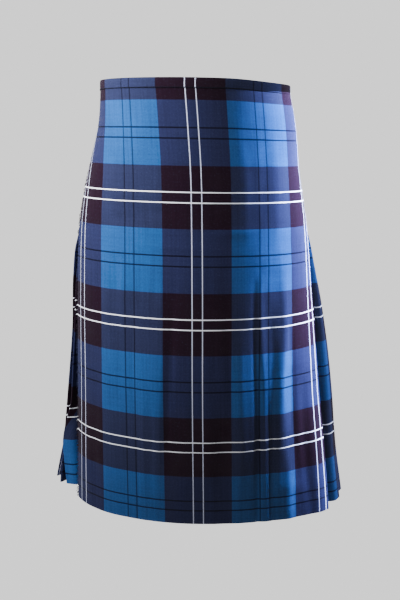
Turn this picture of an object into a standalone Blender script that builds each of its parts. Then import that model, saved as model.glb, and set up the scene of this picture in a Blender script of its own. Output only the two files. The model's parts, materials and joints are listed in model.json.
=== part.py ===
# A worn wrap kilt: fringed outer apron, under apron, knife pleats, waistband, straps and buckles.
# Metres, +Z up, front towards -Y. The origin is the centre of the waist, level with the waist straps.
# "below" is a distance under the top edge, "along" runs round the body from the centre front
# towards +X, and "out" is a distance outwards from a section.

import math
from functools import partial

import bmesh
import bpy
import numpy as np

# Driving sizes
RISE = 0.055  # top edge above the waist straps
DROP = 0.610  # top edge to the aprons' hem
PLEAT_DROP = 0.603  # the pleats flare out, so their hem hangs a little higher
BAND_DEEP = 0.0137
GAP = 0.0003
APRON_WALL = 0.0015
PLEAT_WALL = 0.0012
PLEATS = 24
SETT = 0.1906  # one repeat of the check round the body
CUT_BEYOND = 0.019  # cloth past the outermost white stripe, up to the free edge
FOLD_BEYOND = 0.013  # the same, up to the folded edge
FOLD_ROUND = 0.0009  # half the space inside a pressed fold
FOLD_SET = 0.0010  # middle of the cloth at an outer fold, inside the section through the folds
FACE_BEND = 0.55  # where a pleat's face bends, as a share of its width
FACE_LIFT = 0.10  # how far it bulges there, as a share of the pleat's depth
RETURN_DEEP = 0.026  # cloth turned under at the apron's folded edge
TOP_DIP = 0.003  # how far the top edge sinks at its +X end
TURN_LOOSE = 0.004  # how much further in the turned cloth hangs near the hem
UNDER_SHORT = 0.014  # how far the under apron stops short of the outer one at both edges
UNDER_EASE = 0.05  # length over which it comes up from behind the last pleat
FIRST_STEP = 0.0045  # where the pleats' cloth steps inwards, past its seam with the turned cloth
PLEAT_SWAY = 0.16  # how unevenly the folds lie near the hem, as a share of their pitch
DEPTH_SWAY = 0.14  # the same for their depths
BAND_LEVEL = 0.007  # level whose outline the waistband follows
BAND_PROUD = 0.0004
BAND_START = 0.010  # the band passes onto the pleats this far past their first fold
BAND_LAST = 0.006  # and leaves them this far short of the last fold but one
BAND_TURN = 0.0040  # its thickness where it turns onto the under apron

CLOTH = (0.05, 0.11, 0.27)
LEATHER = (0.02, 0.018, 0.017)
METAL = (0.62, 0.62, 0.64)


def table(names, rows):
    return dict(zip(names, np.array(rows, float).T))


# Sections of the outer apron: half widths towards -X and +X, depths to front and back,
# how blunt the two front quarters are, and how far the check's centre line sits towards +X
APRON = table(
    ("below", "left", "right", "front", "back", "blunt_left", "blunt_right", "centre"),
    (
        (0.000, 0.1387, 0.1300, 0.1141, 0.108, 2.10, 1.81, 0.0050),
        (0.055, 0.1416, 0.1413, 0.1121, 0.108, 2.12, 1.80, 0.0097),
        (0.120, 0.1554, 0.1488, 0.1145, 0.125, 2.14, 1.80, 0.0152),
        (0.200, 0.1705, 0.1624, 0.1213, 0.140, 2.17, 1.79, 0.0190),
        (0.300, 0.1757, 0.1763, 0.1327, 0.150, 2.20, 1.78, 0.0228),
        (0.420, 0.1753, 0.1959, 0.1431, 0.155, 2.24, 1.77, 0.0263),
        (0.520, 0.1763, 0.2150, 0.1443, 0.160, 2.27, 1.76, 0.0289),
        (0.610, 0.1775, 0.2354, 0.1424, 0.165, 2.30, 1.75, 0.0309),
    ),
)

# Sections through the pleats' outer folds, how deep a pleat stands, how far it is tucked under
# its neighbour, how far forward and how far in the last fold but one lies, and the last fold's place
PLEATED = table(
    ("below", "left", "right", "front", "back", "deep", "tuck", "next_y", "next_in", "last_x", "last_y"),
    (
        (0.000, 0.1358, 0.1268, 0.110, 0.104, 0.0046, 0.005, 0.014, 0.0006, -0.1330, -0.004),
        (0.055, 0.1378, 0.1340, 0.109, 0.104, 0.0047, 0.006, 0.012, 0.0006, -0.1351, -0.007),
        (0.120, 0.1580, 0.1470, 0.113, 0.126, 0.0052, 0.008, -0.006, 0.0050, -0.1452, -0.026),
        (0.200, 0.1720, 0.1595, 0.121, 0.147, 0.0062, 0.010, -0.026, 0.0050, -0.1543, -0.047),
        (0.235, 0.1830, 0.1690, 0.124, 0.155, 0.0090, 0.012, -0.022, 0.0040, -0.1640, -0.040),
        (0.280, 0.1868, 0.1820, 0.128, 0.159, 0.0115, 0.014, -0.018, 0.0030, -0.1715, -0.034),
        (0.360, 0.1885, 0.1985, 0.134, 0.162, 0.0140, 0.016, -0.012, 0.0020, -0.1765, -0.030),
        (0.450, 0.1960, 0.2115, 0.139, 0.166, 0.0155, 0.017, -0.010, 0.0020, -0.1825, -0.026),
        (0.540, 0.2050, 0.2212, 0.141, 0.170, 0.0165, 0.018, -0.022, 0.0040, -0.1855, -0.026),
        (0.610, 0.2160, 0.2325, 0.142, 0.176, 0.0175, 0.018, -0.046, 0.0070, -0.1735, -0.045),
    ),
)

# Where the under apron starts behind the last fold, and how far it hangs inside the outer apron
UNDER = table(
    ("below", "start_x", "start_y", "inside", "inside_left"),
    (
        (0.000, -0.1285, 0.004, 0.0024, 0.0098),
        (0.055, -0.1306, 0.002, 0.0024, 0.0107),
        (0.120, -0.1412, -0.014, 0.0026, 0.0106),
        (0.200, -0.1512, -0.032, 0.0032, 0.0096),
        (0.300, -0.1590, -0.014, 0.0050, 0.0092),
        (0.420, -0.1620, -0.008, 0.0070, 0.0095),
        (0.520, -0.1630, -0.008, 0.0085, 0.0100),
        (0.610, -0.1590, -0.022, 0.0100, 0.0100),
    ),
)

# Soft vertical folds of the outer apron: place on the check, stretch below the top edge, height
APRON_FOLDS = (
    {"across": 0.093, "from": 0.27, "to": 0.62, "high": -0.0022, "half": 0.011},
    {"across": 0.118, "from": 0.32, "to": 0.66, "high": 0.0020, "half": 0.016},
    {"across": -0.066, "from": 0.24, "to": 0.60, "high": 0.0022, "half": 0.018},
    {"across": -0.105, "from": 0.30, "to": 0.66, "high": -0.0018, "half": 0.016},
    {"across": 0.030, "from": 0.36, "to": 0.68, "high": -0.0016, "half": 0.020},
    {"across": 0.185, "from": 0.44, "to": 0.70, "high": 0.0030, "half": 0.020},
)

APRON_LEVELS = (0.014, 0.041, 0.069, 0.11, 0.15, 0.20, 0.255, 0.31, 0.37, 0.43, 0.49, 0.55, DROP)
UNDER_LEVELS = (0.014, 0.041, 0.069, 0.11, 0.15, 0.19, 0.24, 0.33, 0.42, 0.52, 0.607)
PLEAT_LEVELS = (0.014, 0.041, 0.055, 0.069, 0.11, 0.15, 0.19, 0.212, 0.24, 0.29, 0.36, 0.44, 0.52,
                PLEAT_DROP)

# Straps: side, level below the top edge, the apron edge they come out at, how far behind it the
# buckle's bar is, how far the strap's root reaches under the apron and how deep it lies there
STRAP_COLUMNS = ("name", "side", "below", "edge_y", "bar", "under", "sunk")
STRAP_ROWS = (
    ("waist_right", -1, 0.055, -0.002, 0.052, 0.014, 0.0006),
    ("hip_right", -1, 0.150, -0.031, 0.070, 0.010, 0.0055),
    ("waist_left", 1, 0.055, 0.018, 0.052, 0.014, 0.0),
)
STRAPS = [dict(zip(STRAP_COLUMNS, row)) for row in STRAP_ROWS]
STRAP_OFF = 0.0007  # straps and buckles clear the folds, which hollow a little under them
STRAP_ROOM = 0.0034  # room for a strap's root under the apron's folded edge
STRAP_HALF = 0.014
STRAP_THICK = 0.0020
CHAPE_HALF = 0.0145
CHAPE_THICK = 0.0012
CHAPE_LONG = 0.034
BAR_ROUND = 0.0011
BAR_OUT = 0.0037
BARS_APART = 0.018
FRAME_HALF = 0.0175
FRAME_CORNER = 0.004
ROLL_ROUND = 0.0022
PRONG_THICK = 0.0012
PRONG_HALF = 0.0017
SLOT_HALF = 0.0025
KEEPER_THICK = 0.0011
KEEPER_HALF = 0.0155
KEEPER_OUT = 0.0067
KEEPER_AT = (0.017, 0.024)
STRAP_PAST = 0.043

# Fringe along the free edge
STRANDS = 120
STRANDS_A_SPAN = 5
STRIP_WIDE = 0.0030
STRIP_THICK = 0.0012
STRAND_LONG = 0.0095
STRAND_FALL = 0.0030
STRAND_LIFT = 0.0052  # how far the strands stand off beside the hip strap


def at(tab, name, below):
    """The table's column at this level, on a smooth curve through its rows."""
    x, y = tab["below"], tab[name]
    slope = np.gradient(y, x)
    i = int(np.clip(np.searchsorted(x, below) - 1, 0, len(x) - 2))
    step = x[i + 1] - x[i]
    t = float(np.clip((below - x[i]) / step, 0, 1))
    ends = (1 + 2 * t) * (1 - t) ** 2 * y[i] + t * t * (3 - 2 * t) * y[i + 1]
    return ends + step * (t * (1 - t) ** 2 * slope[i] - t * t * (1 - t) * slope[i + 1])


def eased(t):
    t = np.clip(t, 0.0, 1.0)
    return t * t * (3 - 2 * t)


class Section:
    """A loop of cloth seen from above, made of four blunt or pointed quarters."""

    def __init__(self, left, right, front, back, blunt_left=2.0, blunt_right=2.0, blunt_back=2.2):
        turn = np.linspace(-0.8 * math.pi, 2 * math.pi, 1401)
        c, s = np.cos(turn), np.sin(turn)
        wide = np.where(s < 0, left, right)
        deep = np.where(c > 0, front, back)
        blunt = np.where(c > 0, np.where(s < 0, blunt_left, blunt_right), blunt_back)
        self.x = wide * np.sign(s) * np.abs(s) ** (2 / blunt)
        self.y = -deep * np.sign(c) * np.abs(c) ** (2 / blunt)
        along = np.concatenate([[0], np.cumsum(np.hypot(np.diff(self.x), np.diff(self.y)))])
        self.along = along - np.interp(0, turn, along)
        self.turn = turn

    def on(self, along):
        return np.array([np.interp(along, self.along, self.x), np.interp(along, self.along, self.y)])

    def point(self, along, out=0.0):
        ahead = self.on(along + 0.001) - self.on(along - 0.001)
        ahead /= np.hypot(*ahead)
        return self.on(along) + out * np.array([ahead[1], -ahead[0]])

    def where_y(self, y, side):
        """The distance along to this y on the +X side (1), or on the -X side reached by the back (-1)."""
        if side > 0:
            part = (self.turn >= 0) & (self.turn <= math.pi)
            return float(np.interp(y, self.y[part], self.along[part]))
        part = self.turn >= math.pi
        return float(np.interp(-y, -self.y[part], self.along[part]))


def apron_section(below):
    names = ("left", "right", "front", "back", "blunt_left", "blunt_right")
    return Section(*(at(APRON, name, below) for name in names))


def pleat_section(below):
    return Section(*(at(PLEATED, name, below) for name in ("left", "right", "front", "back")))


def free_edge(below):
    return at(APRON, "centre", below) - SETT - CUT_BEYOND


def folded_edge(below):
    return at(APRON, "centre", below) + SETT + FOLD_BEYOND


def apron_relief(across, below):
    """How far the apron's soft folds stand out at this place on its check."""
    high = 0.0
    for fold in APRON_FOLDS:
        t = (below - fold["from"]) / (fold["to"] - fold["from"])
        rise = math.sin(math.pi * t) if 0 < t < 1 else 0.0
        high += fold["high"] * rise * math.exp(-(((across - fold["across"]) / fold["half"]) ** 2))
    return high


def level(x, below):
    """The height of a point of cloth, with the top edge's dip towards +X."""
    dip = TOP_DIP * eased((x - 0.05) / 0.08) * eased(1 - below / 0.12)
    return RISE - below - dip


def material(name, color, rough, metallic=0.0):
    made = bpy.data.materials.new(name)
    made.use_nodes = True
    shader = made.node_tree.nodes["Principled BSDF"]
    shader.inputs["Base Color"].default_value = (*color, 1)
    shader.inputs["Roughness"].default_value = rough
    shader.inputs["Metallic"].default_value = metallic
    return made


def solid(name, verts, faces, made):
    """One closed object from points and faces, with its faces turned outwards."""
    mesh = bpy.data.meshes.new(name)
    mesh.from_pydata([tuple(map(float, v)) for v in verts], [], faces)
    work = bmesh.new()
    work.from_mesh(mesh)
    bmesh.ops.recalc_face_normals(work, faces=work.faces)
    work.to_mesh(mesh)
    work.free()
    mesh.shade_smooth()
    mesh.set_sharp_from_angle(angle=math.radians(40))
    mesh.materials.append(made)
    made_object = bpy.data.objects.new(name, mesh)
    bpy.context.scene.collection.objects.link(made_object)
    return made_object


def miters(line):
    """For each point of an open line, the sideways step that keeps a strip's width through its bends."""
    line = np.asarray(line, float)
    ahead = np.diff(line, axis=0)
    ahead /= np.maximum(np.linalg.norm(ahead, axis=1), 1e-9)[:, None]
    side = np.stack([ahead[:, 1], -ahead[:, 0]], axis=1)
    before = np.concatenate([side[:1], side])
    after = np.concatenate([side, side[-1:]])
    both = before + after
    both /= np.maximum(np.linalg.norm(both, axis=1), 1e-9)[:, None]
    return both / np.clip((both * before).sum(axis=1), 0.62, 1)[:, None]


def wall(name, lines, heights, thick, made):
    """A sheet of cloth between stacked lines: lines[level] holds plan points, heights[level][point] their z.
    thick is one thickness, or one for each point."""
    half = np.asarray(thick, float).reshape(-1, 1) / 2
    count = len(lines[0])
    verts = []
    for line, high in zip(lines, heights):
        step = miters(line) * half
        for sign in (1, -1):
            for (x, y), z in zip(np.asarray(line) + sign * step, high):
                verts.append((x, y, z))
    faces = []
    for j in range(len(lines)):
        outer, inner = 2 * j * count, (2 * j + 1) * count
        if j + 1 < len(lines):
            below = 2 * count
            for k in range(count - 1):
                faces.append((outer + k, outer + k + 1, outer + k + 1 + below, outer + k + below))
                faces.append((inner + k + 1, inner + k, inner + k + below, inner + k + 1 + below))
            for k in (0, count - 1):
                faces.append((outer + k, inner + k, inner + k + below, outer + k + below))
        if j in (0, len(lines) - 1):
            for k in range(count - 1):
                faces.append((outer + k, outer + k + 1, inner + k + 1, inner + k))
    return solid(name, verts, faces, made)


def stacked(name, line_at, levels, thick, made):
    lines = [line_at(below) for below in levels]
    heights = [[level(x, below) for x, _ in line] for line, below in zip(lines, levels)]
    return wall(name, lines, heights, thick, made)


def turned_in(below):
    """How far inside the outer apron the cloth turned under at its folded edge hangs."""
    return 2 * FOLD_ROUND + 0.0001 + TURN_LOOSE * eased((below - 0.2) / 0.4)


def outer_line(below):
    """The outer apron from its free edge to its folded edge, and the cloth turned under there."""
    section = apron_section(below)
    middle = at(APRON, "centre", below)
    line = []
    for along in np.linspace(free_edge(below), folded_edge(below) - FOLD_ROUND, 31):
        line.append(section.point(along, apron_relief(along - middle, below)))
    turned = turned_in(below)
    edge = folded_edge(below)
    out = apron_relief(edge - middle, below)
    line.append(section.point(edge, out - 0.35 * FOLD_ROUND))
    line.append(section.point(edge, out - 1.75 * FOLD_ROUND))
    for back in (0.006, 0.016, RETURN_DEEP):
        line.append(section.point(edge - back, -turned))
    return line


def under_line(below):
    """The under apron, from the fold behind the last pleat to its free edge inside the outer apron."""
    section = apron_section(below)
    middle = at(APRON, "centre", below)
    near = at(UNDER, "inside_left", below)
    far = at(UNDER, "inside", below)
    first = free_edge(below) + UNDER_SHORT
    last = folded_edge(below) - RETURN_DEEP - UNDER_SHORT
    line = [np.array([at(UNDER, "start_x", below), at(UNDER, "start_y", below)])]
    for along in np.linspace(first, last, 21):
        inside = near + (far - near) * eased((along - first) / UNDER_EASE)
        line.append(section.point(along, apron_relief(along - middle, below) - inside))
    return line


def pleat_folds(below):
    """The section through the outer folds, and for each pleat its fold's place along and its depth."""
    section = pleat_section(below)
    edge_y = apron_section(below).on(folded_edge(below))[1]
    start = section.where_y(edge_y, 1)
    pitch = (section.where_y(at(PLEATED, "next_y", below), -1) - start) / (PLEATS - 1)
    loose = eased((below - 0.2) / 0.3)
    places = []
    for i in range(PLEATS):
        sway = PLEAT_SWAY * math.sin(2.4 * i + 0.6) * loose if 0 < i < PLEATS - 2 else 0.0
        deep = at(PLEATED, "deep", below) * (1 + DEPTH_SWAY * math.sin(1.7 * i + 1.1) * loose)
        places.append((start + (i + 1 + sway) * pitch, deep))
    return section, start, places


def pushed_in(below, i):
    """How far the last few folds lie inside the section, where the apron's edge and hip strap hold them."""
    shares = {PLEATS - 2: 1.0, PLEATS - 3: 0.3}
    return shares.get(i, 0.0) * at(PLEATED, "next_in", below)


def pleat_line(below, first, last):
    """Knife pleats first to last - 1: each runs out to its fold, then turns back under itself."""
    section, start, places = pleat_folds(below)
    tuck = at(PLEATED, "tuck", below)
    line = []
    if first == 0:
        apron = apron_section(below)
        turned = turned_in(below)
        inner = folded_edge(below) - RETURN_DEEP
        deeper = turned + 2 * FOLD_ROUND + STRAP_ROOM
        line.append(apron.point(inner - GAP, -turned))
        line.append(apron.point(inner - FIRST_STEP, -turned))
        line.append(apron.point(inner - FIRST_STEP, -deeper))
        line.append(apron.point(folded_edge(below) - 0.004, -deeper - 0.0012))
    for i in range(first, last):
        along, deep = places[i]
        if i > 0:
            root = places[i - 1][0] - tuck
            root_deep = places[i - 1][1] + pushed_in(below, i - 1)
            line.append(section.point(root, -root_deep - FOLD_ROUND))
            if i < PLEATS - 1:
                inner = (1 - FACE_BEND) * root_deep + FACE_BEND * pushed_in(below, i)
                inner -= FACE_LIFT * places[i - 1][1]
                line.append(section.point(root + FACE_BEND * (along - root), -inner - FOLD_SET))
        if i == PLEATS - 1:
            fold = np.array([at(PLEATED, "last_x", below), at(PLEATED, "last_y", below)])
            begun = np.array([at(UNDER, "start_x", below), at(UNDER, "start_y", below)])
            begun[0] -= (PLEAT_WALL + APRON_WALL) / 2 + 1.7 * GAP
            back = begun - fold
            back /= np.hypot(*back)
            line.append(fold)
            line.append(fold + 2 * FOLD_ROUND * np.array([back[1], -back[0]]))
            line.append(begun)
            continue
        inset = FOLD_SET + pushed_in(below, i)
        line.append(section.point(along, -inset))
        line.append(section.point(along, -inset - 2 * FOLD_ROUND))
        line.append(section.point(along - tuck, -deep - pushed_in(below, i) + FOLD_ROUND))
    return line


def band_line(below):
    """The waistband's path: round the outer apron, the pleats and the under apron, with its thickness."""
    apron = apron_section(below)
    section, start, places = pleat_folds(PLEAT_LEVELS[0])
    stack = places[0][1] + FOLD_ROUND + PLEAT_WALL / 2 + BAND_PROUD
    line, thick = [], []
    for along in np.linspace(free_edge(below), folded_edge(below), 26):
        line.append(apron.point(along))
        thick.append(APRON_WALL + 0.0005)
    last = places[PLEATS - 2][0]
    for along in np.linspace(start + BAND_START, last - BAND_LAST, 26):
        line.append(section.point(along, BAND_PROUD - stack / 2))
        thick.append(stack)
    under = under_line(UNDER_LEVELS[0])
    line.append(under[0] * 1.004)
    thick.append(BAND_TURN)
    for point in under[1:]:
        line.append(point)
        thick.append(APRON_WALL + 0.0003)
    return line, thick


def make_band(made):
    line, thick = band_line(BAND_LEVEL)
    lines = [line, line]
    heights = [[level(x, below) for x, _ in line] for below in (0.0, BAND_DEEP)]
    return wall("waistband", lines, heights, thick, made)


def strap_point(site, back, up, out):
    """A point back from the apron's edge, up from the strap's middle and out from the pleats' folds."""
    section = pleat_section(site["below"])
    wide = "left" if site["side"] < 0 else "right"
    levels = (site["below"] + STRAP_HALF, site["below"] - STRAP_HALF)
    lower, upper = (at(PLEATED, wide, below) for below in levels)
    lean = (lower - upper) / (2 * STRAP_HALF)
    anchor = section.where_y(site["edge_y"], site["side"])
    x, y = section.point(anchor + site["side"] * back, out + STRAP_OFF - lean * up)
    return (x, y, RISE - site["below"] + up)


def ribbon(name, site, path, thick, half, made, slot=None):
    """A strip that follows path, a list of (back, out), between -half and half.
    slot is a pair of path places between which the strip's middle is open."""
    path = np.asarray(path, float)
    step = miters(path) * thick / 2
    rows = (-half, half) if slot is None else (-half, -SLOT_HALF, SLOT_HALF, half)
    count, wide = len(path), len(rows)
    verts = []
    for row in rows:
        for sign in (1, -1):
            for back, out in path + sign * step:
                verts.append(strap_point(site, back, row, out))

    def spot(row, sign, k):
        return (2 * row + sign) * count + k

    def filled(row, k):
        if not (0 <= row < wide - 1 and 0 <= k < count - 1):
            return False
        return slot is None or row != 1 or not slot[0] <= k < slot[1]

    faces = []
    for row in range(wide - 1):
        for k in range(count - 1):
            if not filled(row, k):
                continue
            for sign in (0, 1):
                faces.append((spot(row, sign, k), spot(row, sign, k + 1),
                              spot(row + 1, sign, k + 1), spot(row + 1, sign, k)))
            for other, edge in ((row - 1, row), (row + 1, row + 1)):
                if not filled(other, k):
                    faces.append((spot(edge, 0, k), spot(edge, 0, k + 1),
                                  spot(edge, 1, k + 1), spot(edge, 1, k)))
            for other, edge in ((k - 1, k), (k + 1, k + 1)):
                if not filled(row, other):
                    faces.append((spot(row, 0, edge), spot(row + 1, 0, edge),
                                  spot(row + 1, 1, edge), spot(row, 1, edge)))
    return solid(name, verts, faces, made)


def arc(middle, radius, first, last, count):
    """Points of an arc round (back, out), by angles in degrees from the backward direction."""
    points = []
    for angle in np.radians(np.linspace(first, last, count)):
        points.append((middle + radius * math.cos(angle), BAR_OUT + radius * math.sin(angle)))
    return points


def make_strap(site, made):
    bar = site["bar"]
    front = bar - BARS_APART
    lying = GAP + STRAP_THICK / 2
    over_roll = BAR_OUT + ROLL_ROUND + CHAPE_THICK / 2 + GAP + STRAP_THICK / 2 + 0.0002
    over_chape = 2 * CHAPE_THICK + 3 * GAP + STRAP_THICK / 2 + 0.0002
    sunk = site["sunk"]
    under = site["under"]
    path = [(-under, lying - sunk), (-under / 2, lying - sunk), (0.002, lying - sunk)]
    path += [(0.010, lying - sunk), (0.018, lying - sunk * 0.9), (0.027, lying - sunk * 0.5)]
    path += [(front, lying - sunk * 0.1)]
    first_open = len(path)
    path += [(front + 0.006, lying + 0.0016), (front + 0.012, over_roll - 0.0022)]
    last_open = len(path)
    path += [(bar - 0.002, over_roll), (bar + 0.003, over_roll - 0.0002)]
    path += [(bar + 0.009, over_chape + 0.0008), (bar + 0.015, over_chape)]
    path += [(back, over_chape) for back in np.linspace(bar + 0.022, bar + STRAP_PAST, 4)]
    return ribbon("strap_" + site["name"], site, path, STRAP_THICK, STRAP_HALF, made,
                  slot=(first_open, last_open))


def make_chape(site, made):
    bar = site["bar"]
    lower = GAP + CHAPE_THICK / 2
    upper = lower + CHAPE_THICK + GAP
    tail = bar + CHAPE_LONG
    path = [(tail, lower), (bar + 0.022, lower), (bar + 0.012, lower), (bar + 0.005, lower)]
    path += arc(bar, ROLL_ROUND, -60, -270, 6)
    path += [(bar + 0.0026, upper + 0.0018), (bar + 0.006, upper + 0.0002)]
    path += [(bar + 0.012, upper), (bar + 0.022, upper), (tail, upper)]
    return ribbon("chape_" + site["name"], site, path, CHAPE_THICK, CHAPE_HALF, made, slot=(3, 11))


def make_prong(site, made):
    bar = site["bar"]
    rest = BAR_OUT + BAR_ROUND + PRONG_THICK / 2 + GAP
    path = arc(bar, ROLL_ROUND, -150, 90, 7)
    path += [(bar - 0.006, rest + 0.0004), (bar - BARS_APART + 0.002, rest)]
    path += [(bar - BARS_APART - 0.002, rest - 0.0002)]
    return ribbon("prong_" + site["name"], site, path, PRONG_THICK, PRONG_HALF, made)


def make_keeper(site, made):
    """A strip that runs up one side of the strap, over it and down the other side."""
    foot = 2 * GAP
    path = [(-KEEPER_HALF, foot), (-KEEPER_HALF, KEEPER_OUT)]
    path = np.array(path + [(KEEPER_HALF, KEEPER_OUT), (KEEPER_HALF, foot)])
    step = miters(path) * KEEPER_THICK / 2
    verts = []
    for back in KEEPER_AT:
        for sign in (1, -1):
            for up, out in path + sign * step:
                verts.append(strap_point(site, site["bar"] + back, up, out))
    count = len(path)
    faces = []
    for k in range(count - 1):
        for a, b in ((0, 1), (1, 3), (3, 2), (2, 0)):
            faces.append((a * count + k, a * count + k + 1, b * count + k + 1, b * count + k))
    for k in (0, count - 1):
        faces.append((k, count + k, 3 * count + k, 2 * count + k))
    return solid("keeper_" + site["name"], verts, faces, made)


def make_buckle(site, made):
    """A rounded oblong frame of round wire."""
    bar = site["bar"]
    sides, corner_steps = 8, 3
    front = bar - BARS_APART
    centres = []
    corners = ((bar, FRAME_HALF, 0), (front, FRAME_HALF, 90))
    corners += ((front, -FRAME_HALF, 180), (bar, -FRAME_HALF, 270))
    for back, up, begun in corners:
        inner_back = back - math.copysign(FRAME_CORNER, back - (bar + front) / 2)
        inner_up = up - math.copysign(FRAME_CORNER, up)
        for angle in np.radians(np.linspace(begun, begun + 90, corner_steps)):
            centres.append((inner_back, inner_up, math.cos(angle), math.sin(angle)))
    verts = []
    for back, up, c, s in centres:
        for turn in np.arange(sides) * 2 * math.pi / sides:
            reach = FRAME_CORNER + BAR_ROUND * math.cos(turn)
            out = BAR_OUT + BAR_ROUND * math.sin(turn)
            verts.append(strap_point(site, back + reach * c, up + reach * s, out))
    rings = len(centres)
    faces = []
    for i in range(rings):
        for k in range(sides):
            here, there = i * sides, (i + 1) % rings * sides
            k2 = (k + 1) % sides
            faces.append((here + k, here + k2, there + k2, there + k))
    return solid("buckle_" + site["name"], verts, faces, made)


def make_fringe(made):
    """A narrow strip along the free edge, and strands that leave it."""
    tops = np.linspace(0.016, DROP - 0.002, 2 * STRANDS + 1)
    half = STRIP_THICK / 2
    verts, faces = [], []

    def add(below, beyond, out, fall=0.0):
        section = apron_section(below)
        x, y = section.point(free_edge(below) - beyond, out)
        verts.append((x, y, level(x, below) - fall))
        return len(verts) - 1

    root, edge = [], []
    for k, below in enumerate(tops):
        if k % (2 * STRANDS_A_SPAN) == 0:
            root.append((add(below, GAP, half), add(below, GAP, -half)))
        edge.append((add(below, GAP + STRIP_WIDE, half), add(below, GAP + STRIP_WIDE, -half)))
    for span in range(len(root) - 1):
        ks = range(2 * STRANDS_A_SPAN * span, 2 * STRANDS_A_SPAN * (span + 1) + 1)
        for side in (0, 1):
            faces.append((root[span + 1][side], root[span][side], *(edge[k][side] for k in ks)))
        faces.append((root[span][0], root[span][1], root[span + 1][1], root[span + 1][0]))
    for end, k in ((0, 0), (-1, -1)):
        faces.append((root[end][0], root[end][1], edge[k][1], edge[k][0]))
    for k in range(2 * STRANDS):
        corners = (edge[k][0], edge[k + 1][0], edge[k + 1][1], edge[k][1])
        if k % 2 == 0:
            faces.append(corners)
            continue
        lifted = STRAND_LIFT * eased((tops[k] - 0.055) / 0.05) * eased((0.25 - tops[k]) / 0.05)
        sway = 0.0009 * math.sin(1.9 * k) + 0.0012 + lifted
        long = STRAND_LONG * (1 + 0.12 * math.sin(3.1 * k))
        upper, lower = tops[k] + 0.0004, tops[k + 1] - 0.0004
        reach = GAP + STRIP_WIDE + long
        thin = half * 0.7
        tip = [add(upper, reach, sway + thin, STRAND_FALL), add(lower, reach, sway + thin, STRAND_FALL)]
        tip += [add(lower, reach, sway - thin, STRAND_FALL), add(upper, reach, sway - thin, STRAND_FALL)]
        for a in range(4):
            b = (a + 1) % 4
            faces.append((corners[a], corners[b], tip[b], tip[a]))
        faces.append(tuple(tip))
    return solid("apron_fringe", verts, faces, made)


def build():
    for old in list(bpy.data.objects):
        bpy.data.objects.remove(old, do_unlink=True)
    cloths = {}
    for name in ("outer_apron", "under_apron", "pleats_left", "pleats_right", "waistband", "apron_fringe"):
        cloths[name] = material(name, CLOTH, 0.85)
    stacked("outer_apron", outer_line, APRON_LEVELS, APRON_WALL, cloths["outer_apron"])
    stacked("under_apron", under_line, UNDER_LEVELS, APRON_WALL, cloths["under_apron"])
    half = PLEATS // 2
    for name, first, last in (("pleats_left", 0, half), ("pleats_right", half, PLEATS)):
        line_at = partial(pleat_line, first=first, last=last)
        stacked(name, line_at, PLEAT_LEVELS, PLEAT_WALL, cloths[name])
    make_band(cloths["waistband"])
    make_fringe(cloths["apron_fringe"])
    leather = material("strap_leather", LEATHER, 0.5)
    metal = material("buckle_metal", METAL, 0.25, 1.0)
    for site in STRAPS:
        make_strap(site, leather)
        make_chape(site, leather)
        make_keeper(site, leather)
        make_buckle(site, metal)
        make_prong(site, metal)


build()
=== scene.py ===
import json
import math
import random

import bpy
import numpy as np
from mathutils import Matrix, Vector

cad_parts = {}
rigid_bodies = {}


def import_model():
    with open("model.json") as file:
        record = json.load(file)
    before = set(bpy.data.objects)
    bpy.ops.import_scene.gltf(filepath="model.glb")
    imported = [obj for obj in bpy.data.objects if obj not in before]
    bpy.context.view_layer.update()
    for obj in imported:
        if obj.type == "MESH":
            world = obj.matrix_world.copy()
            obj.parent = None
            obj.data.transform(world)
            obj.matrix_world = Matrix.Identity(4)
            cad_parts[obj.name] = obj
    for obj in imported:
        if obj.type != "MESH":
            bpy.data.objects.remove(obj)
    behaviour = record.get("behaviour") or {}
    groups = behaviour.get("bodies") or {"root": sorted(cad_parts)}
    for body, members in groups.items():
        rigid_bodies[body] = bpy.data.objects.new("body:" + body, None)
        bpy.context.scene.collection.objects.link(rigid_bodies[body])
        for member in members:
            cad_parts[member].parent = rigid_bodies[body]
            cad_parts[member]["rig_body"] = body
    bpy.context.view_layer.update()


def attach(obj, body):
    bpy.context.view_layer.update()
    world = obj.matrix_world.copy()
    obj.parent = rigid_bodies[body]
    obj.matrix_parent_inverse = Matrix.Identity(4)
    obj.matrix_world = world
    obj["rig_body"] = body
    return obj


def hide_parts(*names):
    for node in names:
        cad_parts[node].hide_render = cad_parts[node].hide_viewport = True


# A worn wrap kilt: checked cloth, knife pleats, fringe, leather straps and buckles, in metres with +Z up
# and the front towards -Y. "below" is the distance under the top edge, "along" runs round the body from
# the centre front towards +X, and "out" is the distance outwards from a section.

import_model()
print("frame loaded")


def table(names, rows):
    return dict(zip(names, np.array(rows, float).T))


def named(names, rows):
    return [dict(zip(names, row)) for row in rows]


kilt = {
    "rise": 0.055,  # top edge above the waist straps
    "drop": 0.610,
    "pleatDrop": 0.603,
    "bandDeep": 0.0137,
    "topDip": 0.003,  # how far the top edge sinks at its +X end
    "pleats": 24,
    "sett": 0.1906,  # one repeat of the check round the body
    "cutBeyond": 0.019,
    "foldBeyond": 0.013,
    "foldRound": 0.0009,
    "foldSet": 0.0010,
    "returnDeep": 0.026,
    "strapRoom": 0.0034,
    "faceBend": 0.55,
    "faceLift": 0.10,
}

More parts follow.
